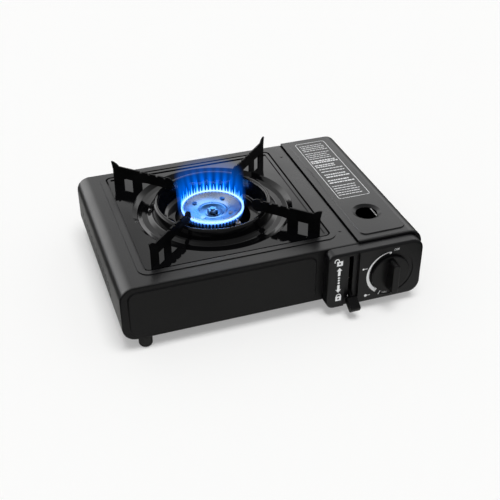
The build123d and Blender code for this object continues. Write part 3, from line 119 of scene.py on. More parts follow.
def addCamera(settings):
    data = bpy.data.cameras.new("photoCamera")
    data.lens = settings["lens"]
    data.sensor_width = settings["sensor"]
    data.clip_start = settings["nearest"]
    camera = bpy.data.objects.new("photoCamera", data)
    scene.collection.objects.link(camera)
    camera.matrix_world = (
        Matrix.Translation(settings["location"])
        @ Matrix.Rotation(radians(-settings["turnedRight"]), 4, "Z")
        @ Matrix.Rotation(radians(90 - settings["lookingDown"]), 4, "X")
        @ Matrix.Rotation(radians(settings["roll"]), 4, "Z")
    )
    scene.camera = camera


addCamera(cameraPlace)

studio = {
    "floorSize": 8.0,
    "floorColour": "#fbfbfa",
    "floorInGloss": "#bcbcba",                  # the floor as gloss sees it, near the case
    "farFloorInGloss": "#3a3a3a",               # and off to its sides
    "farFloor": (0.19, 0.25),                   # metres aside where the one turns to the other
    "floorGlow": 0.30,                          # share of plain white in what the camera sees
    "roomLight": 0.36,                          # strength of the white room on matt surfaces
    "frontGloss": 0.22,                         # what gloss sees in front
    "backGloss": 2.5,                           # and at most behind
    "fullyBack": 0.6,                           # backward part of a direction that sees it all
    "fullyLeft": -0.22,                         # sideways part that sees the left wall alone
    # shares of backGloss by the upward part of the direction, right and left of the middle,
    # and a dimmer stretch between the two, by its sideways part (0.5 is straight back)
    "rightWall": ((0.0, 0.20), (0.22, 0.20), (0.36, 0.85), (0.46, 0.85), (0.53, 0.43), (1.0, 0.36)),
    "leftWall": ((0.0, 0.95), (0.50, 1.0), (0.62, 0.45), (1.0, 0.36)),
    "wallJoin": ((0.45, 1.0), (0.52, 0.62), (0.57, 0.66), (0.63, 1.0)),
    "lampFrom": (0.02, -0.24, 1.0),             # the soft overhead lamp's direction
    "lampAngle": 32.0,                          # degrees across
    "lampLight": 2.05,
}


def addRoom(settings):
    # White to the camera and plain light on matt surfaces. Gloss sees a pale wall behind
    # the object, brightest low on the left, and a dim room in front of it.
    world = bpy.data.worlds.new("studioRoom")
    scene.world = world
    world.use_nodes = True
    world.node_tree.nodes.clear()
    path = addNode(world, "LightPath")
    direction = addNode(world, "TexCoord").outputs["Generated"]
    parts = addNode(world, "SeparateXYZ", {0: direction})
    across = addNode(world, "MapRange", {
        "Value": parts.outputs["X"], "From Min": -1.0, "From Max": 1.0,
    })
    readBy = {
        "rightWall": parts.outputs["Z"], "leftWall": parts.outputs["Z"],
        "wallJoin": across.outputs[0],
    }
    right, left, join = (
        addNode(world, "ValToRGB", {"Fac": source}, stops=[
            (position, (level, level, level, 1)) for position, level in settings[name]
        ])
        for name, source in readBy.items()
    )
    leftShare = addNode(world, "MapRange", {
        "Value": parts.outputs["X"], "From Min": 0.0, "From Max": settings["fullyLeft"],
    }, interpolation_type="SMOOTHSTEP")
    both = addNode(world, "Mix", {
        "Factor": leftShare.outputs[0], colourA: right.outputs[0], colourB: left.outputs[0],
    }, data_type="RGBA")
    dimmed = addNode(world, "Math", {
        0: both.outputs[mixedColour], 1: join.outputs[0],
    }, operation="MULTIPLY")
    wall = addNode(world, "Math", {
        0: dimmed.outputs[0], 1: settings["backGloss"],
    }, operation="MULTIPLY")
    gloss = addNode(world, "MapRange", {
        "Value": parts.outputs["Y"], "From Min": 0.0, "From Max": settings["fullyBack"],
        "To Min": settings["frontGloss"], "To Max": wall.outputs[0],
    }, interpolation_type="SMOOTHSTEP")
    seen = addNode(world, "Math", {
        0: path.outputs["Is Camera Ray"], 1: path.outputs["Is Transmission Ray"],
    }, operation="MAXIMUM")
    matt, shiny, plain = (
        addNode(world, "Background", {"Color": white, "Strength": strength})
        for strength in (settings["roomLight"], gloss.outputs[0], 1.0)
    )
    lit = addNode(world, "MixShader", {
        0: path.outputs["Is Glossy Ray"], 1: matt.outputs[0], 2: shiny.outputs[0],
    })
    room = addNode(world, "MixShader", {0: seen.outputs[0], 1: lit.outputs[0], 2: plain.outputs[0]})
    addNode(world, "OutputWorld", {"Surface": room.outputs[0]})


def paleFloor(settings):
    # Matt white studio floor. The camera sees part of it as plain white, and gloss sees it
    # darker, most of all off to the sides.
    material, place = startMaterial("paleFloor")
    path = addNode(material, "LightPath")
    parts = addNode(material, "SeparateXYZ", {0: place})
    aside = addNode(material, "Math", {0: parts.outputs["X"]}, operation="ABSOLUTE")
    near, far = settings["farFloor"]
    farShare = addNode(material, "MapRange", {
        "Value": aside.outputs[0], "From Min": near, "From Max": far,
    })
    gloss = addNode(material, "Mix", {
        "Factor": farShare.outputs[0], colourA: linearColour(settings["floorInGloss"]),
        colourB: linearColour(settings["farFloorInGloss"]),
    }, data_type="RGBA")
    tint = addNode(material, "Mix", {
        "Factor": path.outputs["Is Glossy Ray"], colourA: linearColour(settings["floorColour"]),
        colourB: gloss.outputs[mixedColour],
    }, data_type="RGBA")
    matt = addNode(material, "BsdfDiffuse", {"Color": tint.outputs[mixedColour]})
    glow = addNode(material, "Emission", {"Color": white, "Strength": 1.0})
    share = addNode(material, "Math", {
        0: path.outputs["Is Camera Ray"], 1: settings["floorGlow"],
    }, operation="MULTIPLY")
    return endMaterial(material, addNode(material, "MixShader", {
        0: share.outputs[0], 1: matt.outputs[0], 2: glow.outputs[0],
    }))


def addFloor(settings):
    bm = bmesh.new()
    bmesh.ops.create_grid(bm, x_segments=1, y_segments=1, size=settings["floorSize"] / 2)
    mesh = bpy.data.meshes.new("floor")
    bm.to_mesh(mesh)
    bm.free()
    floor = bpy.data.objects.new("floor", mesh)
    scene.collection.objects.link(floor)
    mesh.materials.append(paleFloor(settings))


def addLamp(settings):
    # a wide soft lamp overhead, so the shadow stays close under the case
    data = bpy.data.lights.new("overheadLamp", "SUN")
    data.energy = settings["lampLight"]
    data.angle = radians(settings["lampAngle"])
    lamp = bpy.data.objects.new("overheadLamp", data)
    scene.collection.objects.link(lamp)
    lamp.rotation_euler = Vector(settings["lampFrom"]).to_track_quat("Z", "Y").to_euler()
    lamp.visible_glossy = False


addRoom(studio)
addFloor(studio)
addLamp(studio)
print("camera, floor and light placed")


# Finishes

def satinPowderCoat(name, colour, paleColour, roughness, sheen):
    # Polyester powder coat on pressed steel, sprayed dry and baked. A fine orange peel
    # breaks up what it reflects, and the sheen changes a little from one area to the next.
    # The peel is drawn coarser than the real one, so that it shows.
    material, place = startMaterial(name)
    peel = addNode(material, "TexNoise", {"Vector": place, "Scale": perMetre(2.0), "Detail": 2.0})
    grit = addNode(material, "TexNoise", {"Vector": place, "Scale": perMetre(0.5), "Detail": 1.0})
    cloud = addNode(material, "TexNoise", {"Vector": place, "Scale": perMetre(70), "Detail": 3.0})
    tint = addNode(material, "Mix", {
        "Factor": grit.outputs[0], colourA: linearColour(colour), colourB: linearColour(paleColour),
    }, data_type="RGBA")
    spread = addNode(material, "MapRange", {
        "Value": cloud.outputs[0], **noiseSpan,
        "To Min": roughness - 0.04, "To Max": roughness + 0.05,
    })
    bump = addNode(material, "Bump", {
        "Strength": 0.6, "Distance": 0.10 * mm, "Height": peel.outputs[0],
    })
    return endMaterial(material, addNode(material, "BsdfPrincipled", {
        "Base Color": tint.outputs[mixedColour], "Roughness": spread.outputs[0],
        "Normal": bump.outputs[0], "IOR": 1.5, "Specular IOR Level": sheen,
    }))


def vitreousEnamel():
    # Glass enamel fired on pressed steel: deep gloss black whose reflections waver slightly,
    # with a few pinholes and specks in the glass.
    material, place = startMaterial("vitreousEnamel")
    flow = addNode(material, "TexNoise", {"Vector": place, "Scale": perMetre(22), "Detail": 1.0})
    specks = addNode(material, "TexVoronoi", {"Vector": place, "Scale": perMetre(3.5)})
    speck = addNode(material, "MapRange", {
        "Value": specks.outputs["Distance"], "From Min": 0.04, "From Max": 0.09,
        "To Min": 1.0, "To Max": 0.0,
    })
    tint = addNode(material, "Mix", {
        "Factor": speck.outputs[0],
        colourA: linearColour("#050506"), colourB: linearColour("#1a1a1d"),
    }, data_type="RGBA")
    haze = addNode(material, "MapRange", {
        "Value": flow.outputs[0], **noiseSpan, "To Min": 0.04, "To Max": 0.10,
    })
    bump = addNode(material, "Bump", {
        "Strength": 0.2, "Distance": 0.15 * mm, "Height": flow.outputs[0],
    })
    return endMaterial(material, addNode(material, "BsdfPrincipled", {
        "Base Color": tint.outputs[mixedColour], "Roughness": haze.outputs[0],
        "Normal": bump.outputs[0], "IOR": 1.52, "Specular IOR Level": 0.38,
    }))


def heatProofPaint():
    # Silicone heat-proof paint on the pan supports: matt black, slightly rough to the eye.
    # Its pigment stands out of the binder, which holds back most of the sheen.
    material, place = startMaterial("heatProofPaint")
    grain = addNode(material, "TexNoise", {"Vector": place, "Scale": perMetre(0.9), "Detail": 3.0})
    cloud = addNode(material, "TexNoise", {"Vector": place, "Scale": perMetre(14), "Detail": 2.0})
    tint = addNode(material, "Mix", {
        "Factor": cloud.outputs[0],
        colourA: linearColour("#040404"), colourB: linearColour("#0c0c0d"),
    }, data_type="RGBA")
    spread = addNode(material, "MapRange", {
        "Value": cloud.outputs[0], **noiseSpan, "To Min": 0.38, "To Max": 0.55,
    })
    bump = addNode(material, "Bump", {
        "Strength": 0.35, "Distance": 0.05 * mm, "Height": grain.outputs[0],
    })
    return endMaterial(material, addNode(material, "BsdfPrincipled", {
        "Base Color": tint.outputs[mixedColour], "Roughness": spread.outputs[0],
        "Normal": bump.outputs[0], "IOR": 1.45, "Specular IOR Level": 0.2,
    }))


def castAluminium(name, turned):
    # Die-cast aluminium. The skin is grey and slightly grained; where it was turned on a
    # lathe it is brighter, with fine rings round the burner's axis.
    material, place = startMaterial(name)
    if turned:
        centred = addNode(material, "Mapping", {
            "Vector": place, "Location": (-burnerCentre[0], -burnerCentre[1], 0),
        })
        height = addNode(material, "TexWave", {
            "Vector": centred.outputs[0], "Scale": linesPerMetre(0.7), "Distortion": 0.4,
            "Detail": 1.0, "Detail Scale": 0.5,
        }, wave_type="RINGS", rings_direction="Z")
    else:
        height = addNode(material, "TexNoise", {
            "Vector": place, "Scale": perMetre(0.8), "Detail": 3.0,
        })
    stain = addNode(material, "TexNoise", {"Vector": place, "Scale": perMetre(9), "Detail": 3.0})
    dark, pale = ("#9aa0a6", "#d4d9dd") if turned else ("#7e8288", "#b4b8be")
    smoothest, roughest = (0.24, 0.36) if turned else (0.40, 0.55)
    tint = addNode(material, "Mix", {
        "Factor": stain.outputs[0], colourA: linearColour(dark), colourB: linearColour(pale),
    }, data_type="RGBA")
    spread = addNode(material, "MapRange", {
        "Value": stain.outputs[0], **noiseSpan, "To Min": smoothest, "To Max": roughest,
    })
    bump = addNode(material, "Bump", {
        "Strength": 0.30 if turned else 0.45, "Distance": 0.03 * mm, "Height": height.outputs[0],
    })
    return endMaterial(material, addNode(material, "BsdfPrincipled", {
        "Base Color": tint.outputs[mixedColour], "Roughness": spread.outputs[0],
        "Normal": bump.outputs[0], "Metallic": 1.0,
    }))


def zincPlatedSheet():
    # Zinc plated sheet steel, folded after plating: pale grey crystals of changing sheen.
    material, place = startMaterial("zincPlatedSheet")
    crystals = addNode(material, "TexVoronoi", {"Vector": place, "Scale": perMetre(5)})
    roll = addNode(material, "TexNoise", {"Vector": place, "Scale": perMetre(0.6), "Detail": 2.0})
    shade = addNode(material, "RGBToBW", {"Color": crystals.outputs["Color"]})
    tint = addNode(material, "Mix", {
        "Factor": shade.outputs[0],
        colourA: linearColour("#8f9396"), colourB: linearColour("#b9bdc0"),
    }, data_type="RGBA")
    spread = addNode(material, "MapRange", {
        "Value": shade.outputs[0], "To Min": 0.28, "To Max": 0.46,
    })
    bump = addNode(material, "Bump", {
        "Strength": 0.2, "Distance": 0.02 * mm, "Height": roll.outputs[0],
    })
    return endMaterial(material, addNode(material, "BsdfPrincipled", {
        "Base Color": tint.outputs[mixedColour], "Roughness": spread.outputs[0],
        "Normal": bump.outputs[0], "Metallic": 1.0,
    }))


def brightPlating():
    # Nickel plated steel screws and pins: bright, with a faint haze from the plating tank.
    material, place = startMaterial("brightPlating")
    haze = addNode(material, "TexNoise", {"Vector": place, "Scale": perMetre(1.5), "Detail": 3.0})
    tint = addNode(material, "Mix", {
        "Factor": haze.outputs[0],
        colourA: linearColour("#b6b3ad"), colourB: linearColour("#d8d6d2"),
    }, data_type="RGBA")
    spread = addNode(material, "MapRange", {
        "Value": haze.outputs[0], **noiseSpan, "To Min": 0.12, "To Max": 0.28,
    })
    return endMaterial(material, addNode(material, "BsdfPrincipled", {
        "Base Color": tint.outputs[mixedColour], "Roughness": spread.outputs[0], "Metallic": 1.0,
    }))


def drawnTube():
    # Cold drawn steel tube, oiled: mottled faintly from the die, with a warm grey tone.
    material, place = startMaterial("drawnTube")
    marks = addNode(material, "TexNoise", {"Vector": place, "Scale": perMetre(1.2), "Detail": 4.0})
    tint = addNode(material, "Mix", {
        "Factor": marks.outputs[0],
        colourA: linearColour("#8b8780"), colourB: linearColour("#b7b2a8"),
    }, data_type="RGBA")
    spread = addNode(material, "MapRange", {
        "Value": marks.outputs[0], **noiseSpan, "To Min": 0.22, "To Max": 0.40,
    })
    return endMaterial(material, addNode(material, "BsdfPrincipled", {
        "Base Color": tint.outputs[mixedColour], "Roughness": spread.outputs[0], "Metallic": 1.0,
    }))


def dieCastZinc():
    # Zinc alloy from a pressure die: dull grey skin with flow marks and a fine grain.
    material, place = startMaterial("dieCastZinc")
    flow = addNode(material, "TexNoise", {
        "Vector": place, "Scale": perMetre(8), "Detail": 3.0, "Distortion": 1.2,
    })
    grain = addNode(material, "TexNoise", {"Vector": place, "Scale": perMetre(0.5), "Detail": 2.0})
    tint = addNode(material, "Mix", {
        "Factor": flow.outputs[0],
        colourA: linearColour("#74777b"), colourB: linearColour("#a0a3a7"),
    }, data_type="RGBA")
    spread = addNode(material, "MapRange", {
        "Value": flow.outputs[0], **noiseSpan, "To Min": 0.42, "To Max": 0.58,
    })
    bump = addNode(material, "Bump", {
        "Strength": 0.4, "Distance": 0.03 * mm, "Height": grain.outputs[0],
    })
    return endMaterial(material, addNode(material, "BsdfPrincipled", {
        "Base Color": tint.outputs[mixedColour], "Roughness": spread.outputs[0],
        "Normal": bump.outputs[0], "Metallic": 1.0,
    }))


def turnedBrass():
    # Free-cutting brass off a lathe: yellow, slightly darkened in patches by handling, with
    # fine lines from the tool.
    material, place = startMaterial("turnedBrass")
    patch = addNode(material, "TexNoise", {"Vector": place, "Scale": perMetre(4), "Detail": 3.0})
    cut = addNode(material, "TexWave", {
        "Vector": place, "Scale": linesPerMetre(0.5), "Distortion": 0.5,
    }, wave_type="BANDS", bands_direction="Y")
    tint = addNode(material, "Mix", {
        "Factor": patch.outputs[0],
        colourA: linearColour("#b08a48"), colourB: linearColour("#dcb870"),
    }, data_type="RGBA")
    spread = addNode(material, "MapRange", {
        "Value": patch.outputs[0], **noiseSpan, "To Min": 0.18, "To Max": 0.34,
    })
    bump = addNode(material, "Bump", {
        "Strength": 0.2, "Distance": 0.02 * mm, "Height": cut.outputs[0],
    })
    return endMaterial(material, addNode(material, "BsdfPrincipled", {
        "Base Color": tint.outputs[mixedColour], "Roughness": spread.outputs[0],
        "Normal": bump.outputs[0], "Metallic": 1.0,
    }))


def mouldedPlastic(name, colour, paleColour, roughness, grainMm, sheen):
    # Injection moulded plastic, ABS or nylon, from a spark-eroded tool: black with a fine
    # even grain that turns sharp reflections into a soft sheen.
    material, place = startMaterial(name)
    grain = addNode(material, "TexNoise", {
        "Vector": place, "Scale": perMetre(grainMm), "Detail": 2.0,
    })
    cloud = addNode(material, "TexNoise", {"Vector": place, "Scale": perMetre(30), "Detail": 2.0})
    tint = addNode(material, "Mix", {
        "Factor": cloud.outputs[0],
        colourA: linearColour(colour), colourB: linearColour(paleColour),
    }, data_type="RGBA")
    spread = addNode(material, "MapRange", {
        "Value": cloud.outputs[0], **noiseSpan,
        "To Min": roughness - 0.04, "To Max": roughness + 0.05,
    })
    bump = addNode(material, "Bump", {
        "Strength": 0.35, "Distance": 0.03 * mm, "Height": grain.outputs[0],
    })
    return endMaterial(material, addNode(material, "BsdfPrincipled", {
        "Base Color": tint.outputs[mixedColour], "Roughness": spread.outputs[0],
        "Normal": bump.outputs[0], "IOR": 1.53, "Specular IOR Level": sheen,
    }))


def glazedCeramic():
    # Glazed steatite insulator beside the flame: its body is drawn a dull grey brown, much darker
    # than white.
    material, place = startMaterial("glazedCeramic")
    body = addNode(material, "TexNoise", {"Vector": place, "Scale": perMetre(2.5), "Detail": 3.0})
    tint = addNode(material, "Mix", {
        "Factor": body.outputs[0],
        colourA: linearColour("#6f685c"), colourB: linearColour("#938b7d"),
    }, data_type="RGBA")
    return endMaterial(material, addNode(material, "BsdfPrincipled", {
        "Base Color": tint.outputs[mixedColour], "Roughness": 0.16, "IOR": 1.54,
    }))


def siliconeSleeve():
    # Extruded silicone rubber sleeve of the spark lead: dark red brown, with a powdery bloom.
    material, place = startMaterial("siliconeSleeve")
    bloom = addNode(material, "TexNoise", {"Vector": place, "Scale": perMetre(3), "Detail": 3.0})
    tint = addNode(material, "Mix", {
        "Factor": bloom.outputs[0],
        colourA: linearColour("#2c0e0c"), colourB: linearColour("#48201c"),
    }, data_type="RGBA")
    spread = addNode(material, "MapRange", {
        "Value": bloom.outputs[0], **noiseSpan, "To Min": 0.42, "To Max": 0.6,
    })
    return endMaterial(material, addNode(material, "BsdfPrincipled", {
        "Base Color": tint.outputs[mixedColour], "Roughness": spread.outputs[0], "IOR": 1.41,
    }))


def mouldedRubber():
    # Compression moulded nitrile rubber: dead black, dull, with a dusty grain.
    material, place = startMaterial("mouldedRubber")
    dust = addNode(material, "TexNoise", {"Vector": place, "Scale": perMetre(1.0), "Detail": 4.0})
    tint = addNode(material, "Mix", {
        "Factor": dust.outputs[0],
        colourA: linearColour("#0a0a0a"), colourB: linearColour("#1d1d1c"),
    }, data_type="RGBA")
    spread = addNode(material, "MapRange", {
        "Value": dust.outputs[0], **noiseSpan, "To Min": 0.6, "To Max": 0.8,
    })
    bump = addNode(material, "Bump", {
        "Strength": 0.4, "Distance": 0.04 * mm, "Height": dust.outputs[0],
    })
    return endMaterial(material, addNode(material, "BsdfPrincipled", {
        "Base Color": tint.outputs[mixedColour], "Roughness": spread.outputs[0],
        "Normal": bump.outputs[0], "IOR": 1.52,
    }))


def screenPrintInk(name, colour, thinColour):
    # Two-part screen print ink: a thin opaque film, a little uneven where the mesh lifted.
    material, place = startMaterial(name)
    weave = addNode(material, "TexNoise", {"Vector": place, "Scale": perMetre(0.6), "Detail": 2.0})
    tint = addNode(material, "Mix", {
        "Factor": weave.outputs[0],
        colourA: linearColour(thinColour), colourB: linearColour(colour),
    }, data_type="RGBA")
    return endMaterial(material, addNode(material, "BsdfPrincipled", {
        "Base Color": tint.outputs[mixedColour], "Roughness": 0.5, "IOR": 1.48,
    }))


# the record's slots, then the nodes that differ from the rest of their slot
finishOfSlot = {
    "case_coat": satinPowderCoat(
        "satinPowderCoat", "#09090a", "#101011", roughness=0.30, sheen=0.5,
    ),
    "pan_enamel": vitreousEnamel(),
    "support_coat": heatProofPaint(),
    "burner_alloy": castAluminium("turnedAluminium", turned=True),
    "zinc_steel": zincPlatedSheet(),
    "bright_steel": brightPlating(),
    "pipe_metal": drawnTube(),
    "cast_zinc": dieCastZinc(),
    "fitting_brass": turnedBrass(),
    "black_plastic": mouldedPlastic(
        "mouldedAbs", "#08080a", "#0e0e0f", roughness=0.36, grainMm=0.6, sheen=0.4,
    ),
    "igniter_plastic": mouldedPlastic(
        "mouldedNylon", "#17181a", "#222326", roughness=0.5, grainMm=0.9, sheen=0.5,
    ),
    "white_ceramic": glazedCeramic(),
    "lead_sleeve": siliconeSleeve(),
    "foot_rubber": mouldedRubber(),
}
finishOfNode = {
    "front_plate": satinPowderCoat(
        "frontPlateCoat", "#060607", "#0b0b0c", roughness=0.40, sheen=0.3,
    ),
    "burner_body": castAluminium("castAluminium", turned=False),
    "knob": mouldedPlastic(
        "knobAbs", "#030303", "#080809", roughness=0.30, grainMm=0.5, sheen=0.35,
    ),
    "lever_grip": mouldedPlastic(
        "gripAbs", "#030303", "#070708", roughness=0.34, grainMm=0.5, sheen=0.35,
    ),
    "lever": finishOfSlot["support_coat"],
}


def dressNodes():
    for name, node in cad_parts.items():
        slotName = node.material_slots[0].material.name.split(".")[0]
        node.material_slots[0].material = finishOfNode.get(name) or finishOfSlot[slotName]


dressNodes()
print("finishes given to the CAD nodes")


# Making a piece from a bmesh: its place is in its mesh and its object stays at the origin

def makePiece(name, bm, material, body, smooth=False):
    mesh = bpy.data.meshes.new(name)
    bm.to_mesh(mesh)
    bm.free()
    mesh.materials.append(material)
    for polygon in mesh.polygons:
        polygon.use_smooth = smooth
    piece = bpy.data.objects.new(name, mesh)
    scene.collection.objects.link(piece)
    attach(piece, body)


def joinInto(bm, part, place=Matrix.Identity(4)):
    # adds one small bmesh to a larger one, at its place
    part.transform(place)
    mesh = bpy.data.meshes.new("part")
    part.to_mesh(mesh)
    part.free()
    bm.from_mesh(mesh)
    bpy.data.meshes.remove(mesh)


# Flame: tongues over the ports, a bright band where they meet, and a clear mantle

ringSteps = 112                   # sides of what is spun round the burner's axis


def spinUpright(bm, line, edges, steps):
    # spins a line of points once round the Z axis and closes the surface
    bmesh.ops.spin(
        bm, geom=line + edges, cent=(0, 0, 0), axis=(0, 0, 1), angle=2 * pi, steps=steps,
        use_merge=True,
    )
    bmesh.ops.remove_doubles(bm, verts=bm.verts, dist=0.01 * mm)


def spunRing(section, closed):
    # a line of (radius, height) points spun once round the burner's axis
    bm = bmesh.new()
    line = [bm.verts.new((radius, 0, height)) for radius, height in section]
    following = line[1:] + (line[:1] if closed else [])
    edges = [bm.edges.new(pair) for pair in zip(line, following)]
    spinUpright(bm, line, edges, ringSteps)
    bmesh.ops.recalc_face_normals(bm, faces=bm.faces)
    bmesh.ops.translate(bm, vec=(*burnerCentre, 0), verts=bm.verts)
    return bm


flameTongues = {
    "count": 56,                  # one at each port
    "radius": 36.0 * mm,          # just outside the ports
    "foot": 75.6 * mm,            # height above the table
    "rootHeight": 7.4 * mm,       # part of a tongue that is alike all round
    "frontTip": 1.2 * mm,         # what rises above the root, at the front
    "backTip": 19.0 * mm,         # and at the back
    "uneven": (0.10, 2.4),        # share by which the tips differ, and its step in radians
    "lowShare": 0.45,             # height of every second tongue, against its neighbours
    "tilt": 3.0,                  # degrees outwards
    "flatness": 0.5,              # thickness against width
    "sides": 8,
    # (height, half width) of the root, then (share of the tip's height, half width)
    "root": ((0.0, 0.3), (0.6, 0.75), (4.2, 0.85), (5.4, 1.7), (7.4, 1.8)),
    "tip": ((0.14, 1.25), (0.35, 0.85), (0.65, 0.55), (1.0, 0.05)),
    "strength": 2.6,
    "colours": (
        (0.0, "#0a1c3c"), (0.14, "#123c74"), (0.21, "#5a90ff"), (0.30, "#8cb0ff"),
        (0.44, "#4a9cff"), (0.62, "#127aff"), (0.82, "#0352c8"), (1.0, "#033f99"),
    ),
}


def burningGas(settings):
    # Burning gas, seen by its own light: pale blue where it leaves the port, white-blue
    # where the tongues meet, deep blue at the tip.
    material, place = startMaterial("burningGas")
    parts = addNode(material, "SeparateXYZ", {0: place})
    share = addNode(material, "MapRange", {
        "Value": parts.outputs["Z"], "From Min": settings["foot"],
        "From Max": settings["foot"] + settings["rootHeight"] + settings["backTip"],
    })
    ramp = addNode(material, "ValToRGB", {"Fac": share.outputs[0]}, stops=[
        (position, linearColour(colour)) for position, colour in settings["colours"]
    ])
    return endMaterial(material, addNode(material, "Emission", {
        "Color": ramp.outputs[0], "Strength": settings["strength"],
    }))


def flameTongue(tipHeight, settings):
    # one tongue: its outline is spun round an upright axis, then pressed flat
    bm = bmesh.new()
    line = [bm.verts.new((width * mm, 0, height * mm)) for height, width in settings["root"]]
    line += [
        bm.verts.new((width * mm, 0, settings["rootHeight"] + share * tipHeight))
        for share, width in settings["tip"]
    ]
    edges = [bm.edges.new(pair) for pair in zip(line, line[1:])]
    spinUpright(bm, line, edges, settings["sides"])
    bmesh.ops.scale(bm, vec=(1, settings["flatness"], 1), verts=bm.verts)
    bmesh.ops.holes_fill(bm, edges=bm.edges)
    bmesh.ops.recalc_face_normals(bm, faces=bm.faces)
    return bm


def makeTongues(settings):
    bm = bmesh.new()
    uneven, step = settings["uneven"]
    for index in range(settings["count"]):
        angle = 2 * pi * index / settings["count"]
        back = (1 + sin(angle)) / 2           # 0 at the front, 1 at the back
        height = settings["frontTip"] + back * (settings["backTip"] - settings["frontTip"])
        share = 1.0 if index % 2 == 0 else settings["lowShare"]
        height *= (1 + uneven * sin(index * step)) * share
        place = (
            Matrix.Translation((*burnerCentre, settings["foot"]))
            @ Matrix.Rotation(angle, 4, "Z")
            @ Matrix.Translation((settings["radius"], 0, 0))
            @ Matrix.Rotation(radians(settings["tilt"]), 4, "Y")
            @ Matrix.Rotation(pi / 2, 4, "Z")
        )
        joinInto(bm, flameTongue(height, settings), place)
    makePiece("flame_tongues", bm, burningGas(settings), "stove", smooth=True)


makeTongues(flameTongues)

flameBand = {
    "middle": 82.5 * mm,          # height above the table
    "halfHeight": 1.5 * mm,
    "radius": 36.2 * mm,
    "halfThickness": 0.8 * mm,
    "sides": 12,
    "strength": 3.0,
    "colours": ("#5c9cff", "#a2b4ff"),
}


def bandGas(settings):
    # The hottest gas, where the tongues meet above the head's rim: nearly white, uneven.
    material, place = startMaterial("bandGas")
    flicker = addNode(material, "TexNoise", {"Vector": place, "Scale": perMetre(3), "Detail": 1.0})
    blue, pale = settings["colours"]
    tint = addNode(material, "Mix", {
        "Factor": flicker.outputs[0], colourA: linearColour(blue), colourB: linearColour(pale),
    }, data_type="RGBA")
    return endMaterial(material, addNode(material, "Emission", {
        "Color": tint.outputs[mixedColour], "Strength": settings["strength"],
    }))


def makeBand(settings):
    # a ring, round in section
    turns = [2 * pi * step / settings["sides"] for step in range(settings["sides"])]
    section = [
        (
            settings["radius"] + settings["halfThickness"] * cos(turn),
            settings["middle"] + settings["halfHeight"] * sin(turn),
        )
        for turn in turns
    ]
    makePiece("flame_band", spunRing(section, closed=True), bandGas(settings), "stove", smooth=True)


makeBand(flameBand)

flameMantle = {
    "foot": 78.0 * mm,            # height above the table
    "height": 46.0 * mm,
    "radii": (36.2, 37.2, 38.2, 39.4, 40.8),    # nested walls, so that its sides fade
    "levels": 6,
    "lean": 13.0 * mm,            # how far its top is drawn back
    "leanBend": 1.5,              # power by which it bends back
    "strength": 0.13,
    "fade": (-14 * mm, 16 * mm),  # none of its light to all of it, behind the burner's middle
    "streaks": 0.6,               # how much brighter and darker its light is in streaks
    "streakEnd": (0.35, 0.80),    # shares of its height between which they fade out
    "colours": (
        (0.0, "#003a96"), (0.12, "#0070ff"), (0.40, "#0068f0"), (0.60, "#0054bc"),
        (0.80, "#003c84"), (1.0, "#000000"),
    ),
}


def burningVeil(settings, tongues):
    # The thin outer mantle of the flame: clear deep blue light that fades upwards, with a
    # brighter streak over each tall tongue.
    material, place = startMaterial("burningVeil")
    parts = addNode(material, "SeparateXYZ", {0: place})
    high = addNode(material, "MapRange", {
        "Value": parts.outputs["Z"], "From Min": settings["foot"],
        "From Max": settings["foot"] + settings["height"],
    })
    ramp = addNode(material, "ValToRGB", {"Fac": high.outputs[0]}, stops=[
        (position, linearColour(colour)) for position, colour in settings["colours"]
    ])
    first, last = settings["fade"]
    side = addNode(material, "MapRange", {
        "Value": parts.outputs["Y"],
        "From Min": burnerCentre[1] + first, "From Max": burnerCentre[1] + last,
        "To Min": 0.0, "To Max": settings["strength"],
    }, interpolation_type="SMOOTHSTEP")
    centred = addNode(material, "Mapping", {
        "Vector": place, "Location": (-burnerCentre[0], -burnerCentre[1], 0),
    })
    around = addNode(material, "TexGradient", {
        "Vector": centred.outputs[0],
    }, gradient_type="RADIAL")
    turns = addNode(material, "Math", {
        0: around.outputs["Fac"], 1: pi * tongues["count"],     # a turn for each second tongue
    }, operation="MULTIPLY")
    wave = addNode(material, "Math", {0: turns.outputs[0]}, operation="COSINE")
    swing = addNode(material, "MapRange", {
        "Value": high.outputs[0],
        "From Min": settings["streakEnd"][0], "From Max": settings["streakEnd"][1],
        "To Min": settings["streaks"], "To Max": 0.0,
    })
    streak = addNode(material, "Math", {
        0: wave.outputs[0], 1: swing.outputs[0], 2: 1.0,
    }, operation="MULTIPLY_ADD")
    strength = addNode(material, "Math", {
        0: side.outputs[0], 1: streak.outputs[0],
    }, operation="MULTIPLY")
    glow = addNode(material, "Emission", {
        "Color": ramp.outputs[0], "Strength": strength.outputs[0],
    })
    clear = addNode(material, "BsdfTransparent", {"Color": white})
    return endMaterial(material, addNode(material, "AddShader", {
        0: glow.outputs[0], 1: clear.outputs[0],
    }))


def makeMantle(settings, tongues):
    bm = bmesh.new()
    foot, height, levels = settings["foot"], settings["height"], settings["levels"]
    for radius in settings["radii"]:
        wall = [(radius * mm, foot + height * level / levels) for level in range(levels + 1)]
        joinInto(bm, spunRing(wall, closed=False))
    for vert in bm.verts:
        share = (vert.co.z - foot) / height
        vert.co.y += settings["lean"] * share ** settings["leanBend"]
    makePiece("flame_veil", bm, burningVeil(settings, tongues), "stove", smooth=True)


makeMantle(flameMantle, flameTongues)

flameLight = {
    "colour": "#5aa6ff",          # the light that it throws on the pan
    "power": 0.05,
    "size": 22 * mm,
    "behind": 14 * mm,            # the burner's middle
    "height": 100 * mm,
}


def addFlameLight(settings):
    data = bpy.data.lights.new("flameLight", "POINT")
    data.color = linearColour(settings["colour"])[:3]
    data.energy = settings["power"]
    data.shadow_soft_size = settings["size"]
    lamp = bpy.data.objects.new("flameLight", data)
    scene.collection.objects.link(lamp)
    lamp.location = (burnerCentre[0], burnerCentre[1] + settings["behind"], settings["height"])


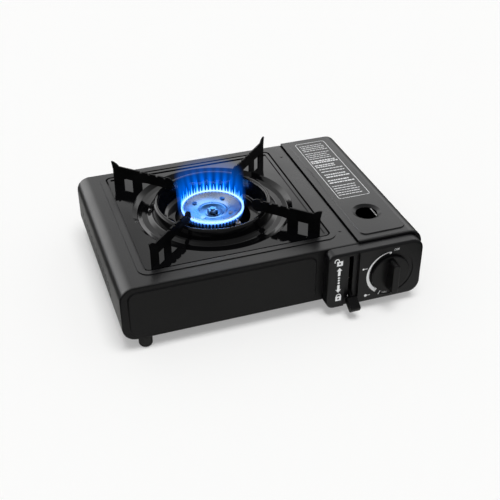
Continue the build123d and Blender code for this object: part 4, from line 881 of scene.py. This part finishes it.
addFlameLight(flameLight)
print("flame made")


# Flat shapes for the prints, x to the right and y up, in millimetres

discSides = 24


def flatBox(bm, left, low, right, high):
    made = bmesh.ops.create_grid(bm, x_segments=1, y_segments=1, size=0.5)["verts"]
    bmesh.ops.scale(bm, vec=(right - left, high - low, 1), verts=made)
    bmesh.ops.translate(bm, vec=((left + right) / 2, (low + high) / 2, 0), verts=made)
    return made


def flatDisc(bm, x, y, radius):
    made = bmesh.ops.create_circle(bm, cap_ends=True, segments=discSides, radius=radius)["verts"]
    bmesh.ops.translate(bm, vec=(x, y, 0), verts=made)


def flatArc(bm, x, y, innerFrom, innerTo, outer, start, end, steps):
    # a band swept round a point, whose inner radius changes from its start to its end
    inside = bm.verts.new((innerFrom, 0, 0))
    outside = bm.verts.new((outer, 0, 0))
    edge = bm.edges.new((inside, outside))
    before = set(bm.verts)
    sweep = radians(end - start)
    bmesh.ops.spin(
        bm, geom=[inside, outside, edge], cent=(0, 0, 0), axis=(0, 0, 1), angle=sweep, steps=steps,
    )
    made = [vert for vert in bm.verts if vert not in before] + [inside, outside]
    for vert in made:
        if vert.co.length < (innerFrom + outer) / 2:
            turn = Vector((1, 0)).angle_signed(vert.co.xy)
            share = (-turn % (2 * pi)) / sweep
            # rounding can put the start almost a full turn on
            share = 0.0 if share > 1.2 else min(share, 1.0)
            vert.co *= (innerFrom + (innerTo - innerFrom) * share) / innerFrom
    bmesh.ops.rotate(bm, cent=(0, 0, 0), matrix=Matrix.Rotation(radians(start), 3, "Z"), verts=made)
    bmesh.ops.translate(bm, vec=(x, y, 0), verts=made)


def flatText(bm, words, x, y, size):
    # plain lettering from Blender's own font, turned to a mesh before it is placed
    curve = bpy.data.curves.new("words", "FONT")
    curve.body = words
    curve.size = size
    curve.resolution_u = 3
    holder = bpy.data.objects.new("words", curve)
    scene.collection.objects.link(holder)
    bpy.context.view_layer.update()
    evaluated = holder.evaluated_get(bpy.context.evaluated_depsgraph_get())
    mesh = bpy.data.meshes.new_from_object(evaluated)
    part = bmesh.new()
    part.from_mesh(mesh)
    joinInto(bm, part, Matrix.Translation((x, y, 0)))
    bpy.data.objects.remove(holder)
    bpy.data.meshes.remove(mesh)


def arrowHead(bm, x, tip, base, halfWidth):
    # a triangle whose tip may be above or below its base, scaled from one of radius 1
    plainHalfWidth, plainHeight = 0.866, 1.5
    made = bmesh.ops.create_circle(bm, cap_ends=True, segments=3, radius=1.0)["verts"]
    turned = Matrix.Rotation(pi if tip < base else 0, 3, "Z")
    bmesh.ops.rotate(bm, cent=(0, 0, 0), matrix=turned, verts=made)
    size = (halfWidth / plainHalfWidth, abs(tip - base) / plainHeight, 1)
    bmesh.ops.scale(bm, vec=size, verts=made)
    bmesh.ops.translate(bm, vec=(x, base + (tip - base) / 3, 0), verts=made)


def faceUp(bm):
    bmesh.ops.recalc_face_normals(bm, faces=bm.faces)
    if sum(face.normal.z for face in bm.faces) < 0:
        bmesh.ops.reverse_faces(bm, faces=bm.faces)


# Prints on the control housing, drawn flat and then stood on its face

housingInk = ("#f3f4f4", "#dfe1e2")             # where it is full and where it is thin

dialBand = {
    "faceY": -122.76,             # the dial lies in a shallow recess
    "middle": (130.3, 45.5),
    "outer": 28.6,
    "innerStart": 27.6,
    "innerEnd": 24.0,
    "start": 92.0,                # degrees, at the dot
    "end": 234.0,
    "steps": 48,
    "dot": (-1.0, 26.9, 1.5),     # from the middle, and its radius
    "ign": ("IGN.", 122.9, 17.8, 3.3),          # words, x, z, size
}


def drawDialBand(bm, settings):
    x, z = settings["middle"]
    flatArc(
        bm, x, z, settings["innerStart"], settings["innerEnd"], settings["outer"],
        settings["start"], settings["end"], settings["steps"],
    )
    dotX, dotZ, radius = settings["dot"]
    flatDisc(bm, x + dotX, z + dotZ, radius)
    flatText(bm, *settings["ign"])


dialPrint = {
    "faceY": -123.56,
    "off": ("OFF", 133.0, 74.6, 3.9),           # words, x, z, size
    # the spark: the places of two slanted strokes, their width, length and slant in degrees
    "spark": ((117.3, 18.4), (118.3, 20.4)),
    "sparkStroke": (0.9, 2.8, -28),
    # the high and low marks, each a dot and a stroke towards the band: x, z, radius, end
    "marks": ((96.9, 57.5, 1.2, 101.9), (102.0, 20.2, 1.7, 107.6)),
    "markGap": 0.5,
    "markHalfWidth": 0.35,
}


def drawDialPrint(bm, settings):
    flatText(bm, *settings["off"])
    width, length, slant = settings["sparkStroke"]
    slanted = Matrix.Rotation(radians(slant), 3, "Z")
    for x, z in settings["spark"]:
        stroke = flatBox(bm, 0, 0, width, length)
        bmesh.ops.rotate(bm, cent=(0, 0, 0), matrix=slanted, verts=stroke)
        bmesh.ops.translate(bm, vec=(x, z, 0), verts=stroke)
    half = settings["markHalfWidth"]
    for x, z, radius, end in settings["marks"]:
        flatDisc(bm, x, z, radius)
        flatBox(bm, x + radius + settings["markGap"], z - half, end, z + half)


padlockShape = {
    "width": 7.0,
    "height": 6.2,
    "side": 2.5,                  # beside the keyhole
    "rail": 2.0,                  # above and below it
    "shackleInner": 2.0,
    "shackleOuter": 3.1,
    "shackleSteps": 10,
    "openLift": 0.6,              # of the shackle's bend above the body
    "closedLift": 0.4,
    "hook": 1.2,                  # how far the open shackle's free end hangs down
}


def padlock(bm, x, low, opened, shape):
    # body, shackle, and a keyhole left open in the middle
    left, right = x - shape["width"] / 2, x + shape["width"] / 2
    keyLeft, keyRight = left + shape["side"], right - shape["side"]
    high = low + shape["height"]
    flatBox(bm, left, low, keyLeft, high)
    flatBox(bm, keyRight, low, right, high)
    flatBox(bm, keyLeft, low, keyRight, low + shape["rail"])
    flatBox(bm, keyLeft, high - shape["rail"], keyRight, high)
    inner, outer = shape["shackleInner"], shape["shackleOuter"]
    middle = left if opened else x
    bend = high + (shape["openLift"] if opened else shape["closedLift"])
    freeEnd = high - (shape["hook"] if opened else 0)
    flatArc(bm, middle, bend, inner, inner, outer, 0, 180, shape["shackleSteps"])
    flatBox(bm, middle - outer, freeEnd, middle - inner, bend)
    flatBox(bm, middle + inner, high, middle + outer, bend)


lockPrint = {
    "faceY": -123.56,
    "x": 67.4,
    "arrows": ((66.7, 62.4, 55.7), (32.7, 37.0, 43.4)),    # tip, base, end of the shaft
    "headHalfWidth": 3.3,
    "shaftHalfWidth": 1.5,
    "dots": (52.9, 49.5, 46.0),
    "dotRadius": 1.35,
    "openLock": (0.2, 69.0),      # to the right of x, and its lower edge
    "closedLock": (0.6, 21.2),
}


def drawLockPrint(bm, settings):
    x, half = settings["x"], settings["shaftHalfWidth"]
    for tip, base, shaftEnd in settings["arrows"]:
        arrowHead(bm, x, tip, base, settings["headHalfWidth"])
        flatBox(bm, x - half, min(base, shaftEnd), x + half, max(base, shaftEnd))
    for z in settings["dots"]:
        flatDisc(bm, x, z, settings["dotRadius"])
    for name, opened in (("openLock", True), ("closedLock", False)):
        aside, low = settings[name]
        padlock(bm, x + aside, low, opened, padlockShape)


def makeHousingPrint(name, draw, settings, ink):
    bm = bmesh.new()
    draw(bm, settings)
    bmesh.ops.remove_doubles(bm, verts=bm.verts, dist=0.001)
    faceUp(bm)
    # x stays, the print's up becomes +Z, and it faces -Y
    upright = Matrix.Rotation(pi / 2, 4, "X")
    bm.transform(Matrix.Translation((0, settings["faceY"] * mm, 0)) @ upright @ Matrix.Scale(mm, 4))
    makePiece(name, bm, ink, "stove")


whiteInk = screenPrintInk("whitePrintInk", *housingInk)
makeHousingPrint("dial_band", drawDialBand, dialBand, whiteInk)
makeHousingPrint("dial_print", drawDialPrint, dialPrint, whiteInk)
makeHousingPrint("lock_print", drawLockPrint, lockPrint, whiteInk)
print("housing prints made")


# The plain printed panel on the lid: an outline with rows of short dashes, no words

lidPrint = {
    "left": 111.5,
    "right": 152.3,
    "front": -19.8,
    "back": 126.3,
    "faceZ": 87.26,
    "lineWidth": 0.8,
    "corner": 3.5,
    "cornerSteps": 5,
    "ink": ("#f4f5f5", "#cdcfd1"),              # where it is full and where it is thin
    # groups of rows from the back to the front: first and last place as shares of the
    # depth, number of rows, and their height and start, end as shares of the width
    "groups": (
        (0.055, 0.150, 4, 1.3, 0.10, 0.94), (0.200, 0.300, 4, 1.3, 0.08, 0.92),
        (0.345, 0.375, 2, 2.6, 0.06, 0.95), (0.425, 0.455, 2, 2.1, 0.08, 0.88),
        (0.500, 0.545, 2, 1.7, 0.12, 0.94), (0.600, 0.640, 2, 2.6, 0.14, 0.90),
        (0.700, 0.740, 2, 2.6, 0.10, 0.90), (0.800, 0.945, 5, 1.5, 0.08, 0.92),
    ),
    "ragged": 0.12,               # share of the width by which a row may end sooner
    "dash": (1.6, 5.2),           # shortest and longest dash
    "space": 0.75,
    "seed": 7,
}


def makeLidPrint(settings):
    left, right, front, back = (settings[key] for key in ("left", "right", "front", "back"))
    bm = bmesh.new()
    flatBox(bm, left, front, right, back)
    bmesh.ops.bevel(
        bm, geom=bm.verts[:], offset=settings["corner"], affect="VERTICES",
        segments=settings["cornerSteps"], profile=0.5, material=-1,
    )
    panel = bm.faces[:]
    bmesh.ops.inset_region(
        bm, faces=panel, thickness=settings["lineWidth"], use_even_offset=True, use_boundary=True,
    )
    bmesh.ops.delete(bm, geom=panel, context="FACES")
    width, depth = right - left, back - front
    shortest, longest = settings["dash"]
    drawn = random.Random(settings["seed"])
    for first, last, rows, height, start, end in settings["groups"]:
        for row in range(rows):
            y = back - (first + (last - first) * row / max(rows - 1, 1)) * depth
            x = left + start * width
            stop = left + (end - settings["ragged"] * drawn.random()) * width
            while x + shortest < stop:
                dash = min(drawn.uniform(shortest, longest), stop - x)
                flatBox(bm, x, y - height / 2, x + dash, y + height / 2)
                x += dash + settings["space"]
    faceUp(bm)
    bm.transform(Matrix.Translation((0, 0, settings["faceZ"] * mm)) @ Matrix.Scale(mm, 4))
    makePiece("lid_print", bm, screenPrintInk("greyPrintInk", *settings["ink"]), "bay_lid")


makeLidPrint(lidPrint)
print("lid print made")
